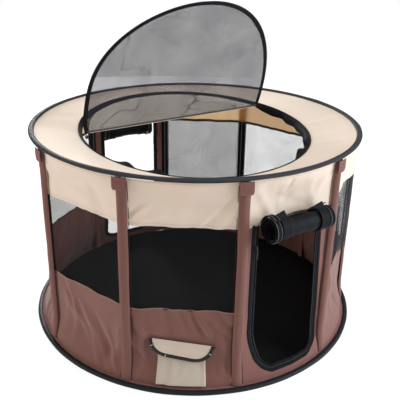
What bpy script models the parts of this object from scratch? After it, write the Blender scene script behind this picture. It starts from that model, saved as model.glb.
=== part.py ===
"""Ten-sided folding pet playpen: two sprung hoops held apart by ten rods in fabric sleeves, with mesh
windows, two roll-up mesh doors, a sloping top panel and a round zip-off mesh lid folded back along a chord.

Metres, +Z up. The origin is the centre of the floor, and the front door faces -Y. Azimuths are in degrees
from -Y towards +X, so the front door is at 0 and the rear door at 180. Repeated pieces are modelled at
azimuth 0 and turned about Z into place.
"""

from math import atan2, cos, degrees, pi, radians, sin, sqrt

import bmesh
import bpy
from mathutils import Matrix, Vector

# --- Driving dimensions -------------------------------------------------------------------------
PANELS = 10
PANEL_DEG = 360 / PANELS
WALL_R = 0.4525  # outer face of the wall cloth at a pole
CLOTH = 0.0020  # drawn thickness of sewn cloth with its lining and seams
NET = 0.0012  # drawn thickness of the mesh
SEAM = 0.0004  # clearance between pieces that are sewn together
RING_STEPS = 60

TOP_HOOP_R, TOP_HOOP_Z, TOP_BINDING_R = 0.4580, 0.5745, 0.0055
BASE_HOOP_R, BASE_HOOP_Z, BASE_BINDING_R = 0.4765, 0.0065, 0.0065
HOOP_WIRE_R, HOOP_CHANNEL_R, CHANNEL_SLIT = 0.0020, 0.0026, 0.0012
FLOOR_R, FLOOR_THICK = 0.4675, 0.0022

WALL_BOTTOM, WALL_TOP = 0.0050, 0.5660
BROWN_TOP, BEIGE_BOTTOM = 0.2210, 0.4470  # the mesh lies between the two
FLAT_FROM, FLAT_TO = 0.10, 0.50  # between these heights each panel is flat from pole to pole
BROWN_HEIGHTS = [WALL_BOTTOM, 0.03, 0.06, FLAT_FROM, BROWN_TOP]

SLEEVE_HALF, SLEEVE_BACK, SLEEVE_FRONT = 0.0145, 0.4530, 0.4635
SLEEVE_BOTTOM, SLEEVE_TOP = 0.0060, 0.5600
ROD_R, ROD_CENTRE, ROD_BORE_R = 0.0030, 0.4582, 0.0036
ROD_BOTTOM, ROD_TOP = 0.0095, 0.5684
TAB_HALF, TAB_LONG, TAB_THICK = 0.0175, 0.0315, 0.0020
TAB_HINGE_R, TAB_HINGE_Z = 0.4652, 0.5695

RIM_Z, RIM_TILT = 0.5510, radians(3.66)  # the top opening lies in a plane that falls towards the front
RIM_R, TAPE_OUT, TAPE_IN = 0.3275, 0.3268, 0.3020
TOP_PANEL_OUT, TOP_PANEL_Z, TOP_PANEL_THICK = 0.4515, 0.5735, 0.0016
LID_R = 0.3005
FOLD_V, FOLD_RISE, FOLD_GAP = 0.0915, 0.0016, 0.0015  # the lid's fold line, behind the opening's centre
LID_RAISED = radians(67.5)
LID_BULGE = 0.140  # how far the raised lid bows back, as a multiple of h (1 - h)

DOOR_HALF, DOOR_BOTTOM, DOOR_CORNER = 0.1080, 0.0220, 0.0500
ZIP_TAPE = 0.0130
ROLL_R, ROLL_END_R, ROLL_END_LONG = 0.0305, 0.0340, 0.0130
ROLL_HALF, ROLL_OUT, ROLL_Z = 0.0960, 0.0385, 0.4380
TIE_AT, TIE_HALF, TIE_THICK = 0.0580, 0.0100, 0.0014
TIE_RISE, TIE_LEAN = 0.0130, 0.0040

POCKET_PANEL = -1
POCKET_HALF, POCKET_BOTTOM, POCKET_TOP = 0.0600, 0.0180, 0.1080
POCKET_GAP, POCKET_DEEP, POCKET_CLOTH = 0.0012, 0.0120, 0.0018
FLAP_HALF, FLAP_TILT, FLAP_THICK = 0.0800, radians(6.0), 0.0014
FLAP_HINGE_OUT, FLAP_HINGE_Z = 0.0014, 0.1300

LID_SLIDER_AZ, LID_SLIDER_R = -101.0, 0.3145
SLIDER_WIDE, SLIDER_LONG, SLIDER_THICK = 0.0090, 0.0140, 0.0048
PULL_WIDE, PULL_LONG, PULL_THICK = 0.0060, 0.0260, 0.0014
DOOR_SLIDER_Z = 0.3880


# --- Colours ------------------------------------------------------------------------------------
def material(name, colour, roughness, metallic=0.0):
    made = bpy.data.materials.new(name)
    made.use_nodes = True
    shader = made.node_tree.nodes["Principled BSDF"]
    shader.inputs["Base Color"].default_value = (*colour, 1.0)
    shader.inputs["Roughness"].default_value = roughness
    shader.inputs["Metallic"].default_value = metallic
    return made


# --- Places -------------------------------------------------------------------------------------
def outward(azimuth):
    return Vector((sin(radians(azimuth)), -cos(radians(azimuth)), 0.0))


def steps(low, high, count):
    return [low + (high - low) * i / count for i in range(count + 1)]


def smooth(x):
    x = min(1.0, max(0.0, x))
    return x * x * (3 - 2 * x)


def roundness(z):
    """0 where a panel is flat between its poles, 1 where the hoops pull the wall into a circle."""
    return max(smooth(1 - z / FLAT_FROM), smooth((z - FLAT_TO) / (WALL_TOP - FLAT_TO)))


def wall_radius(azimuth, out, z):
    """Distance from the axis of a point that lies out beyond the wall's outer face."""
    from_middle = (azimuth + PANEL_DEG / 2) % PANEL_DEG - PANEL_DEG / 2
    apothem = WALL_R * cos(radians(PANEL_DEG / 2))
    flat = (apothem + out) / cos(radians(from_middle))
    return flat + (WALL_R + out - flat) * roundness(z)


def wall_point(azimuth, out, z):
    point = outward(azimuth) * wall_radius(azimuth, out, z)
    point.z = z
    return point


def front_point(across, out, z):
    """A point on the front panel, across along +X from its middle."""
    apothem = WALL_R * cos(radians(PANEL_DEG / 2))
    return wall_point(degrees(atan2(across, apothem)), out, z)


def rim_point(radius, azimuth, rise):
    """A point in the tilted plane of the top opening, rise above it."""
    return rim_place(radius * sin(radians(azimuth)), -radius * cos(radians(azimuth)), rise)


def rim_place(across, back, rise):
    return Vector(
        (
            across,
            back * cos(RIM_TILT) - rise * sin(RIM_TILT),
            RIM_Z + back * sin(RIM_TILT) + rise * cos(RIM_TILT),
        )
    )


# --- Making objects -----------------------------------------------------------------------------
def add_object(name, mesh, finish, place=None):
    made = bpy.data.objects.new(name, mesh)
    if not mesh.materials:
        mesh.materials.append(finish)
    bpy.context.scene.collection.objects.link(made)
    if place is not None:
        made.matrix_world = place
    return made


def mesh_of(name, points, faces, sharp_deg=40):
    """A closed mesh whose faces point out."""
    mesh = bpy.data.meshes.new(name)
    mesh.from_pydata([tuple(p) for p in points], [], faces)
    shell = bmesh.new()
    shell.from_mesh(mesh)
    bmesh.ops.recalc_face_normals(shell, faces=shell.faces)
    shell.to_mesh(mesh)
    shell.free()
    mesh.shade_smooth()
    mesh.set_sharp_from_angle(angle=radians(sharp_deg))
    return mesh


def slab(name, front, back, closed=False):
    """A solid between two grids of points, each a list of columns. A closed one joins its last column to its first."""
    columns, rows = len(front), len(front[0])
    points = [p for grid in (front, back) for column in grid for p in column]

    def at(side, i, j):
        return (side * columns + i % columns) * rows + j

    faces = []
    for i in range(columns if closed else columns - 1):
        for j in range(rows - 1):
            for side in (0, 1):
                faces.append([at(side, i, j), at(side, i + 1, j), at(side, i + 1, j + 1), at(side, i, j + 1)])
        for j in (0, rows - 1):
            faces.append([at(0, i, j), at(0, i + 1, j), at(1, i + 1, j), at(1, i, j)])
    if not closed:
        for i in (0, columns - 1):
            for j in range(rows - 1):
                faces.append([at(0, i, j), at(0, i, j + 1), at(1, i, j + 1), at(1, i, j)])
    return mesh_of(name, points, faces)


def turned(name, profile):
    """A ring whose section is a closed loop of (radius, height) points."""
    points, faces, count = [], [], len(profile)
    for step in range(RING_STEPS):
        direction = outward(step * 360 / RING_STEPS)
        points += [direction * r + Vector((0, 0, z)) for r, z in profile]
    for step in range(RING_STEPS):
        a, b = step * count, (step + 1) % RING_STEPS * count
        faces += [[a + i, b + i, b + (i + 1) % count, a + (i + 1) % count] for i in range(count)]
    return mesh_of(name, points, faces)


def blind_tube(name, outline, bore, bottom, bore_bottom, top):
    """An upright bar of that outline, with a hole down into it from its top. Both loops have the same count."""
    count = len(outline)
    levels = [(outline, bottom), (outline, top), (bore, top), (bore, bore_bottom)]
    points = [Vector((x, y, z)) for loop, z in levels for x, y in loop]
    faces = [list(range(count)), list(range(3 * count, 4 * count))]
    for level in range(3):
        a, b = level * count, (level + 1) * count
        faces += [[a + i, a + (i + 1) % count, b + (i + 1) % count, b + i] for i in range(count)]
    return mesh_of(name, points, faces)


def cells(name, xs, ys, zs, filled, place):
    """A solid made of the filled cells of a grid, each corner moved to where place puts it."""
    points, faces, index = [], [], {}

    def corner(i, j, k):
        if (i, j, k) not in index:
            index[i, j, k] = len(points)
            points.append(place(xs[i], ys[j], zs[k]))
        return index[i, j, k]

    def is_filled(i, j, k):
        inside = 0 <= i < len(xs) - 1 and 0 <= j < len(ys) - 1 and 0 <= k < len(zs) - 1
        return inside and filled(i, j, k)

    for i in range(len(xs) - 1):
        for j in range(len(ys) - 1):
            for k in range(len(zs) - 1):
                if not is_filled(i, j, k):
                    continue
                for axis in range(3):
                    for side in (0, 1):
                        beyond = [i, j, k]
                        beyond[axis] += 2 * side - 1
                        if is_filled(*beyond):
                            continue
                        u, v = [a for a in range(3) if a != axis]
                        loop = []
                        for du, dv in ((0, 0), (1, 0), (1, 1), (0, 1)):
                            at = [i, j, k]
                            at[axis] += side
                            at[u] += du
                            at[v] += dv
                            loop.append(corner(*at))
                        faces.append(loop)
    return mesh_of(name, points, faces)


def bevelled_box(name, size, width):
    """A box about its own origin with its edges rounded off."""
    mesh = bpy.data.meshes.new(name)
    shell = bmesh.new()
    bmesh.ops.create_cube(shell, size=1.0, matrix=Matrix.Diagonal((*size, 1.0)))
    bmesh.ops.bevel(shell, geom=shell.edges[:], offset=width, segments=1, affect="EDGES")
    shell.to_mesh(mesh)
    shell.free()
    return mesh


def turn(azimuth):
    return Matrix.Rotation(radians(azimuth), 4, "Z")


# --- Hoops, bindings and floor ------------------------------------------------------------------
def circle(radius, centre_r, centre_z, count):
    return [
        (centre_r + radius * cos(2 * pi * i / count), centre_z + radius * sin(2 * pi * i / count))
        for i in range(count)
    ]


def channel(outer, centre_r, centre_z):
    """The section of a fabric binding sewn round a hoop, open by a slit on its inner side."""
    section = []
    for radius, order in ((outer, 1), (HOOP_CHANNEL_R, -1)):
        half_slit = degrees(atan2(CHANNEL_SLIT / 2, radius))
        arc = steps(-180 + half_slit, 180 - half_slit, 7)[::order]
        section += [(centre_r + radius * cos(radians(a)), centre_z + radius * sin(radians(a))) for a in arc]
    return section


def make_hoops(steel, charcoal, black, floor_black):
    for name, radius, z, binding, finish in (
        ("base", BASE_HOOP_R, BASE_HOOP_Z, BASE_BINDING_R, black),
        ("top", TOP_HOOP_R, TOP_HOOP_Z, TOP_BINDING_R, charcoal),
    ):
        add_object(f"{name}_hoop", turned(f"{name}_hoop", circle(HOOP_WIRE_R, radius, z, 6)), steel)
        add_object(f"{name}_binding", turned(f"{name}_binding", channel(binding, radius, z)), finish)
    rim = [outward(i * 360 / RING_STEPS) * FLOOR_R for i in range(RING_STEPS)]
    points = rim + [p + Vector((0, 0, FLOOR_THICK)) for p in rim]
    sides = [[i, (i + 1) % RING_STEPS, RING_STEPS + (i + 1) % RING_STEPS, RING_STEPS + i] for i in range(RING_STEPS)]
    caps = [list(range(RING_STEPS)), list(range(RING_STEPS, 2 * RING_STEPS))]
    add_object("floor_sheet", mesh_of("floor_sheet", points, sides + caps), floor_black)


# --- Wall ---------------------------------------------------------------------------------------
def band(name, azimuths, heights, out, thick, closed=False):
    front = [[wall_point(a, out, z) for z in heights] for a in azimuths]
    back = [[wall_point(a, out - thick, z) for z in heights] for a in azimuths]
    return slab(name, front, back, closed)


def make_bands(beige, brown, net):
    ring = [i * 360 / RING_STEPS for i in range(RING_STEPS)]
    heights = [BEIGE_BOTTOM, FLAT_TO, 0.525, 0.545, WALL_TOP]
    add_object("upper_band", band("upper_band", ring, heights, 0, CLOTH, closed=True), beige)
    gap = degrees(SEAM / WALL_R)
    first, last = PANEL_DEG / 2 + gap, 180 - PANEL_DEG / 2 - gap
    brown_steps = [first, *steps(24, 156, 22), last]
    net_steps = [first, *steps(54, 126, 2), last]
    net_heights = [BROWN_TOP + SEAM, BEIGE_BOTTOM - SEAM]
    for side, sign in (("right", 1), ("left", -1)):
        lower = band(f"lower_band_{side}", [sign * a for a in brown_steps], BROWN_HEIGHTS, 0, CLOTH)
        window = band(f"mesh_band_{side}", [sign * a for a in net_steps], net_heights, -0.0004, NET)
        add_object(f"lower_band_{side}", lower, brown)
        add_object(f"mesh_band_{side}", window, net)


def make_poles(steel, brown):
    """Ten rods in sewn sleeves, each closed at its top by a hook-and-loop tab that lifts."""
    front = [(-1, 0.0), (1, 0.0), (1, 0.25), (0.62, 0.8), (0.28, 1), (-0.28, 1), (-0.62, 0.8), (-1, 0.25)]
    deep = SLEEVE_FRONT - SLEEVE_BACK
    outline = [(SLEEVE_HALF * x, -SLEEVE_BACK - deep * y) for x, y in front]
    bore_angles = [112.5 - 45 * i for i in range(8)]
    bore = [
        (ROD_BORE_R * cos(radians(a)), -ROD_CENTRE + ROD_BORE_R * sin(radians(a))) for a in bore_angles
    ]
    sleeve = blind_tube("sleeve", outline, bore, SLEEVE_BOTTOM, SLEEVE_BOTTOM + 0.003, SLEEVE_TOP)
    rod = bpy.data.meshes.new("rod")
    shell = bmesh.new()
    middle = Matrix.Translation((0, -ROD_CENTRE, (ROD_BOTTOM + ROD_TOP) / 2))
    bmesh.ops.create_cone(
        shell, cap_ends=True, segments=8, radius1=ROD_R, radius2=ROD_R, depth=ROD_TOP - ROD_BOTTOM, matrix=middle
    )
    shell.to_mesh(rod)
    shell.free()
    rod.shade_smooth()
    rod.set_sharp_from_angle(angle=radians(50))
    tab = bevelled_box("tab", (2 * TAB_HALF, TAB_THICK, TAB_LONG), 0.0005)
    tab.transform(Matrix.Translation((0, 0, -TAB_LONG / 2)))
    for number in range(PANELS):
        azimuth = (number + 0.5) * PANEL_DEG
        add_object(f"rod_{number + 1}", rod, steel, turn(azimuth))
        add_object(f"sleeve_{number + 1}", sleeve, brown, turn(azimuth))
        hinge = Matrix.Translation((0, -TAB_HINGE_R, TAB_HINGE_Z))
        add_object(f"sleeve_tab_{number + 1}", tab, brown, turn(azimuth) @ hinge)


# --- Doors --------------------------------------------------------------------------------------
def door_line(inset, straight=3, corner=6):
    """Points (across, z, direction) down the left side of the doorway, round its bottom and up its right side."""
    half, bottom, radius = DOOR_HALF - inset, DOOR_BOTTOM + inset, DOOR_CORNER - inset
    top = BEIGE_BOTTOM - SEAM
    line = [(-half, z, None) for z in steps(top, FLAT_FROM, straight)]
    for i in range(corner + 1):
        angle = radians(90 * i / corner)
        line.append((-half + radius - radius * cos(angle), bottom + radius - radius * sin(angle), angle))
    line += [(x, bottom, None) for x in steps(-half + radius, half - radius, straight)[1:-1]]
    return line + [(-x, z, a) for x, z, a in reversed(line) if x < -(half - radius) + 1e-6]


def surround_edge(across, z, angle, half, bottom):
    """The point on the panel's own edge that lies beyond a point of the doorway's line."""
    if angle is None:
        return (-half if across < 0 else half, z) if z > DOOR_BOTTOM + DOOR_CORNER - 1e-6 else (across, bottom)
    centre_x, centre_z = DOOR_HALF - DOOR_CORNER, DOOR_BOTTOM + DOOR_CORNER
    reach = min(
        (half - centre_x) / max(cos(angle), 1e-9),
        (centre_z - bottom) / max(sin(angle), 1e-9),
    )
    side = -1 if across < 0 else 1
    return side * (centre_x + reach * cos(angle)), centre_z - reach * sin(angle)


def make_doors(brown, black, net):
    panel_half = WALL_R * sin(radians(PANEL_DEG / 2)) - SEAM
    line = door_line(0.0)
    edge = [surround_edge(x, z, a, panel_half, WALL_BOTTOM) for x, z, a in line]

    def strip(name, inner, outer, out, thick):
        grids = [
            [[front_point(x, n, z) for x, z in pair] for pair in zip(inner, outer, strict=True)]
            for n in (out, out - thick)
        ]
        return slab(name, *grids)

    surround = strip("door_surround", [(x, z) for x, z, _ in line], edge, 0, CLOTH)
    tape_out = [(x, z) for x, z, _ in door_line(SEAM)]
    tape_in = [(x, z) for x, z, _ in door_line(SEAM + ZIP_TAPE)]
    tape = strip("door_zip_tape", tape_in, tape_out, -0.0002, CLOTH - SEAM)
    roll = door_roll()
    tie = door_tie()
    apothem = WALL_R * cos(radians(PANEL_DEG / 2))
    slider = bevelled_box("door_slider", (SLIDER_WIDE, SLIDER_THICK, SLIDER_LONG), 0.0012)
    slider_at = (-DOOR_HALF + SEAM + ZIP_TAPE / 2, -apothem - SLIDER_THICK / 2 - 0.0004, DOOR_SLIDER_Z)
    for side, azimuth in (("front", 0), ("rear", 180)):
        place = turn(azimuth)
        add_object(f"{side}_door_surround", surround, brown, place)
        add_object(f"{side}_door_zip_tape", tape, black, place)
        add_object(f"{side}_door_roll", roll, net, place)
        for end, sign in (("left", -1), ("right", 1)):
            add_object(f"{side}_roll_tie_{end}", tie, black, place @ Matrix.Translation((sign * TIE_AT, 0, 0)))
        add_object(f"{side}_door_slider", slider, black, place @ Matrix.Translation(slider_at))


def roll_axis_y():
    return -(WALL_R * cos(radians(PANEL_DEG / 2)) + ROLL_OUT)


def door_roll():
    """The mesh door rolled up, thicker at its two ends where its zip edge is rolled with it."""
    sections = [
        (-ROLL_HALF, ROLL_END_R),
        (-ROLL_HALF + ROLL_END_LONG, ROLL_END_R),
        (-ROLL_HALF + ROLL_END_LONG + 0.004, ROLL_R),
    ]
    sections += [(-x, r) for x, r in reversed(sections)]
    count = 16
    points = [
        Vector((x, roll_axis_y() + r * cos(2 * pi * i / count), ROLL_Z + r * sin(2 * pi * i / count)))
        for x, r in sections
        for i in range(count)
    ]
    faces = [list(range(count)), list(range(len(points) - count, len(points)))]
    for s in range(len(sections) - 1):
        a, b = s * count, (s + 1) * count
        faces += [[a + i, a + (i + 1) % count, b + (i + 1) % count, b + i] for i in range(count)]
    return mesh_of("door_roll", points, faces)


def door_tie():
    """A strap round the roll, open on top, where its free end turns up and leans outwards."""
    inner, outer = ROLL_R + 0.0006, ROLL_R + 0.0006 + TIE_THICK
    angles = [radians(a) for a in steps(112, 432, 16)]
    lines = [[(r * cos(a), r * sin(a)) for a in angles] for r in (inner, outer)]
    for line, ahead, up in ((lines[0], 0.0, 0.0), (lines[1], TIE_THICK, TIE_THICK)):
        line += [(ahead, inner + up), (ahead + TIE_LEAN, inner + TIE_RISE)]
    grids = [
        [[Vector((x, roll_axis_y() - out, ROLL_Z + up)) for out, up in line] for x in (-TIE_HALF, TIE_HALF)]
        for line in lines
    ]
    return slab("roll_tie", *grids)


# --- Pocket -------------------------------------------------------------------------------------
def make_pocket(beige):
    place = turn(POCKET_PANEL * PANEL_DEG)
    xs = [-POCKET_HALF, -POCKET_HALF + POCKET_CLOTH, -0.03, 0.0, 0.03, POCKET_HALF - POCKET_CLOTH, POCKET_HALF]
    outs = [POCKET_GAP, POCKET_DEEP - POCKET_CLOTH, POCKET_DEEP]
    zs = [POCKET_BOTTOM, POCKET_BOTTOM + POCKET_CLOTH, *BROWN_HEIGHTS[1:-1], POCKET_TOP]

    def is_cloth(i, j, k):
        return j == 1 or k == 0 or i in (0, len(xs) - 2)

    add_object("pocket_body", cells("pocket_body", xs, outs, zs, is_cloth, front_point), beige, place)

    hinge_y = -(WALL_R * cos(radians(PANEL_DEG / 2)) + FLAP_HINGE_OUT)
    slope = [(0.0, 0.0), (-0.0120, -0.0150), (-0.0130, -0.0390)]
    front, back = [], []
    for share in steps(-1, 1, 8):
        drop = 1 - abs(share) ** 4
        across = share * FLAP_HALF
        inner = [Vector((across, y, z * max(drop, 0.45) if i == 2 else z)) for i, (y, z) in enumerate(slope)]
        front.append([p + Vector((0, -FLAP_THICK, 0)) for p in inner])
        back.append(inner)
    flap = slab("pocket_flap", front, back)
    hinge = Matrix.Translation((0, hinge_y, FLAP_HINGE_Z)) @ Matrix.Rotation(FLAP_TILT, 4, "Y")
    add_object("pocket_flap", flap, beige, place @ hinge)


# --- Top panel, lid and its zip -----------------------------------------------------------------
def annulus(name, inner_edge, outer_edge, thick, rows=1):
    front, back = [], []
    for step in range(RING_STEPS):
        azimuth = step * 360 / RING_STEPS
        a, b = inner_edge(azimuth), outer_edge(azimuth)
        column = [a + (b - a) * share for share in steps(0, 1, rows)]
        front.append(column)
        back.append([p - Vector((0, 0, thick)) for p in column])
    return slab(name, front, back, closed=True)


def lid_half_width(radius, back):
    return sqrt(max(radius * radius - back * back, 0.0))


def fixed_lid_panel():
    """The cloth behind the lid's fold, which stays flat across the back of the opening."""
    backs = [FOLD_V + FOLD_GAP, 0.13, 0.17, 0.21, 0.25, 0.28, 0.296]
    rows = [(lid_half_width(LID_R, v), v) for v in backs]
    front, back = (
        [[rim_place(side * w, v, rise) for side in (-1, 0, 1)] for w, v in rows] for rise in (NET, 0.0)
    )
    return slab("lid_fixed_panel", front, back)


def moving_lid():
    """The part in front of the fold, in axes at the fold line: X along it, Y away from it, Z out of its top."""
    reach = FOLD_V + LID_R
    top, bottom = [], []
    for share in (0.0, 0.06, 0.12, 0.2, 0.3, 0.4, 0.5, 0.6, 0.7, 0.8, 0.88, 0.94, 0.98, 0.997):
        away = FOLD_GAP + (reach - FOLD_GAP) * share
        half = lid_half_width(LID_R, FOLD_V - away)
        bow = LID_BULGE * share * (1 - share)
        for grid, rise in ((top, NET), (bottom, 0.0)):
            grid.append([Vector((side * half, away, bow + rise - FOLD_RISE)) for side in (-1, 0, 1)])
    return slab("lid_panel", top, bottom)


def make_top(beige, black, net):
    panel = annulus(
        "top_panel",
        lambda a: rim_point(RIM_R, a, 0.0016),
        lambda a: outward(a) * TOP_PANEL_OUT + Vector((0, 0, TOP_PANEL_Z)),
        TOP_PANEL_THICK,
        rows=2,
    )
    add_object("top_panel", panel, beige)
    tape = annulus(
        "opening_zip_tape",
        lambda a: rim_point(TAPE_IN, a, NET),
        lambda a: rim_point(TAPE_OUT, a, NET),
        NET,
    )
    add_object("opening_zip_tape", tape, black)
    add_object("lid_fixed_panel", fixed_lid_panel(), beige)
    # Closed, the lid lies forward of the fold, so its Y points to the front and its X to -X.
    closed = Matrix.Translation(rim_place(0, FOLD_V, FOLD_RISE)) @ Matrix.Rotation(RIM_TILT, 4, "X")
    facing = Matrix.Rotation(pi, 4, "Z")
    add_object("lid_panel", moving_lid(), net, closed @ facing @ Matrix.Rotation(LID_RAISED, 4, "X"))


def make_sliders(black):
    slider = bevelled_box("lid_slider", (SLIDER_LONG, SLIDER_WIDE, SLIDER_THICK), 0.0012)
    on_tape = NET + 0.0005 + SLIDER_THICK / 2
    rim = Matrix.Translation((0, 0, RIM_Z)) @ Matrix.Rotation(RIM_TILT, 4, "X") @ turn(LID_SLIDER_AZ)
    add_object("lid_slider", slider, black, rim @ Matrix.Translation((0, -LID_SLIDER_R, on_tape)))
    pull = bevelled_box("lid_pull", (PULL_LONG, PULL_WIDE, PULL_THICK), 0.0004)
    pull.transform(Matrix.Translation((PULL_LONG / 2 - 0.0008, 0, 0)))
    above = on_tape + SLIDER_THICK / 2 + 0.0015
    add_object("lid_pull", pull, black, rim @ Matrix.Translation((-0.004, -LID_SLIDER_R, above)))


def build():
    for old in list(bpy.data.objects):
        bpy.data.objects.remove(old)
    steel = material("steel", (0.55, 0.55, 0.56), 0.35, 1.0)
    charcoal = material("charcoal_binding", (0.055, 0.058, 0.065), 0.8)
    black = material("black_webbing", (0.012, 0.012, 0.014), 0.75)
    net = material("black_net", (0.03, 0.03, 0.033), 0.7)
    floor_black = material("floor_cloth", (0.012, 0.012, 0.012), 0.7)
    beige = material("beige_cloth", (0.76, 0.66, 0.52), 0.85)
    brown = material("brown_cloth", (0.22, 0.10, 0.08), 0.85)
    make_hoops(steel, charcoal, black, floor_black)
    make_bands(beige, brown, net)
    make_poles(steel, brown)
    make_doors(brown, black, net)
    make_pocket(beige)
    make_top(beige, black, net)
    make_sliders(black)


build()
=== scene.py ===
"""The looks of a round fabric pet playpen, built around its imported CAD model.

Metres, +Z up, the front door facing -Y. Azimuths are in degrees from -Y towards +X. Each cloth piece is a
sheet over a grid of lengths (u, v), which are also its "cloth" UVs, so a weave runs along the cloth.
"""

from math import atan2, cos, degrees, exp, pi, radians, sin, sqrt

import bmesh
import bpy
import numpy as np
from mathutils import Matrix, Vector


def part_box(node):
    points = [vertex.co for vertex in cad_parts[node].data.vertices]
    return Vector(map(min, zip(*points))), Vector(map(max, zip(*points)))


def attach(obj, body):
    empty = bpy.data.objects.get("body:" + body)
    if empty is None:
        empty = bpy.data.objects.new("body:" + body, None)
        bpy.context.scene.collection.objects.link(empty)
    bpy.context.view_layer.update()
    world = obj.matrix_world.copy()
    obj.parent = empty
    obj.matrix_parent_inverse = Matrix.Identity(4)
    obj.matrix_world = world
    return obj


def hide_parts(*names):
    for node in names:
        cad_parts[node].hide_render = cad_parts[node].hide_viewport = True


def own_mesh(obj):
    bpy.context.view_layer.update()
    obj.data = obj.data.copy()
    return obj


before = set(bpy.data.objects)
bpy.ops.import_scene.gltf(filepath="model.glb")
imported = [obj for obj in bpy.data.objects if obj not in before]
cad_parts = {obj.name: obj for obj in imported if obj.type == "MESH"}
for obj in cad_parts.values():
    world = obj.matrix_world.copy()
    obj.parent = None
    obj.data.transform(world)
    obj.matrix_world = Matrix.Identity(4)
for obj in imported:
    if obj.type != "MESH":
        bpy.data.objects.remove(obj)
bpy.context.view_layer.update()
ROOT = "enclosure"


# --- Sizes, read from the frame where it has them -------------------------------------------------
def low(node):
    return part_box(node)[0]


def high(node):
    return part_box(node)[1]


def middle_of(node):
    return (low(node) + high(node)) / 2


PANELS = 10
PANEL_DEG = 360 / PANELS
WALL_R = high("upper_band").x
APOTHEM = WALL_R * cos(radians(PANEL_DEG / 2))
HALF_PANEL = WALL_R * sin(radians(PANEL_DEG / 2))
WALL_TOP, BEIGE_BOTTOM = high("upper_band").z, low("upper_band").z
BROWN_TOP, WALL_BOTTOM = high("lower_band_left").z, low("lower_band_left").z
FLAT_FROM, FLAT_TO = 0.10, 0.50  # between these heights each panel is flat from pole to pole
CLOTH = 0.0011

TOP_HOOP_R, TOP_Z = 0.4560, middle_of("top_hoop").z
BASE_HOOP_R, BASE_Z = middle_of("base_hoop").x + high("base_hoop").x - 0.0020, middle_of("base_hoop").z
FLOOR_R, FLOOR_Z = high("floor_sheet").x, high("floor_sheet").z

RIM_Z, RIM_TILT = 0.5510, radians(3.66)  # the top opening's plane, which falls towards the front
RIM_R, LID_R = 0.3275, 0.3005
TOP_PANEL_R, TOP_PANEL_Z = 0.4515, 0.5735
FOLD_V, FOLD_RISE, FOLD_GAP = 0.0915, 0.0016, 0.0015
LID_REACH = FOLD_V + LID_R
LID_RAISED = radians(67.5)
LID_BULGE = 0.140

SLEEVE_HALF, SLEEVE_FRONT = 0.0136, 0.4628
TAB_HALF, TAB_FRONT = 0.0172, 0.4662
DOOR_HALF, DOOR_BOTTOM, DOOR_CORNER, ZIP_TAPE = 0.1080, 0.0220, 0.0500, 0.0130
ROLL_OUT, ROLL_Z = 0.0385, 0.4380
ROLL_HALF, ROLL_TILT = 0.0890, radians(1.4)
TIE_R, TIE_HALF = 0.0290, 0.0125
POCKET_HALF, POCKET_LOW, POCKET_HIGH, POCKET_DEEP = 0.0600, 0.0180, 0.1080, 0.0118
FLAP_HALF, FLAP_TILT, FLAP_HINGE_Z = 0.0800, radians(6.0), 0.1300
STITCH, STITCH_GAP, STITCH_R = 0.0030, 0.0014, 0.00035

DOORS = (("front", 0), ("rear", 180))
ENDS = (("left", -1), ("right", 1))
UP = Vector((0, 0, 1))


# --- Places ---------------------------------------------------------------------------------------
def outward(azimuth):
    return Vector((sin(radians(azimuth)), -cos(radians(azimuth)), 0.0))


def round_point(azimuth, radius, z):
    return outward(azimuth) * radius + UP * z


def turn(azimuth):
    return Matrix.Rotation(radians(azimuth), 4, "Z")


def signed(azimuth):
    """The same azimuth between -180 and 180."""
    return (azimuth + 180) % 360 - 180


def steps(first, last, count):
    return [first + (last - first) * i / count for i in range(count + 1)]


def smooth(x):
    x = min(1.0, max(0.0, x))
    return x * x * (3 - 2 * x)


def hill(x, width, power=2):
    """1 at x = 0, falling to nothing a few widths away."""
    return exp(-((x / width) ** power))


def roundness(z):
    """0 where a panel is flat between its poles, 1 where the hoops pull the wall into a circle."""
    return max(smooth(1 - z / FLAT_FROM), smooth((z - FLAT_TO) / (WALL_TOP - FLAT_TO)))


def flare(z):
    """How far the wall's foot spreads to meet the base hoop."""
    return 0.0115 * smooth(1 - z / 0.085)


def wall_point(azimuth, out, z):
    """A point out beyond the wall's outer face."""
    out += flare(z)
    from_middle = (azimuth + PANEL_DEG / 2) % PANEL_DEG - PANEL_DEG / 2
    flat = (APOTHEM + out) / cos(radians(from_middle))
    return round_point(azimuth, flat + (WALL_R + out - flat) * roundness(z), z)


def panel_point(azimuth, across, out, z):
    """A point on the panel centred at that azimuth, across to its right as seen from outside."""
    return wall_point(azimuth + degrees(atan2(across, APOTHEM)), out, z)


def rim_place(across, back, rise):
    """A point in the tilted plane of the top opening, rise above it."""
    y = back * cos(RIM_TILT) - rise * sin(RIM_TILT)
    return Vector((across, y, RIM_Z + back * sin(RIM_TILT) + rise * cos(RIM_TILT)))


def rim_point(radius, azimuth, rise):
    """A point round the opening, which the lid pulls further back behind, and which sags in front."""
    inner = smooth((TOP_PANEL_R - radius) / 0.1)
    behind = hill(azimuth % 360 - 180, 58) * inner
    rise += 0.0040 * behind - 0.0068 * hill(signed(azimuth + 32), 42) * inner
    radius += 0.0130 * behind
    return rim_place(radius * sin(radians(azimuth)), -radius * cos(radians(azimuth)), rise)


# --- Materials ------------------------------------------------------------------------------------
def add(tree, kind, settings=(), **inputs):
    """A new shader node. Its inputs take numbers, colours or other nodes' outputs."""
    made = tree.nodes.new(kind)
    for name, value in dict(settings).items():
        setattr(made, name, value)
    for name, value in inputs.items():
        socket = made.inputs[int(name[1:])] if name[0] == "i" and name[1:].isdigit() else made.inputs[name]
        if isinstance(value, bpy.types.NodeSocket):
            tree.links.new(value, socket)
        else:
            socket.default_value = value
    return made


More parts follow.
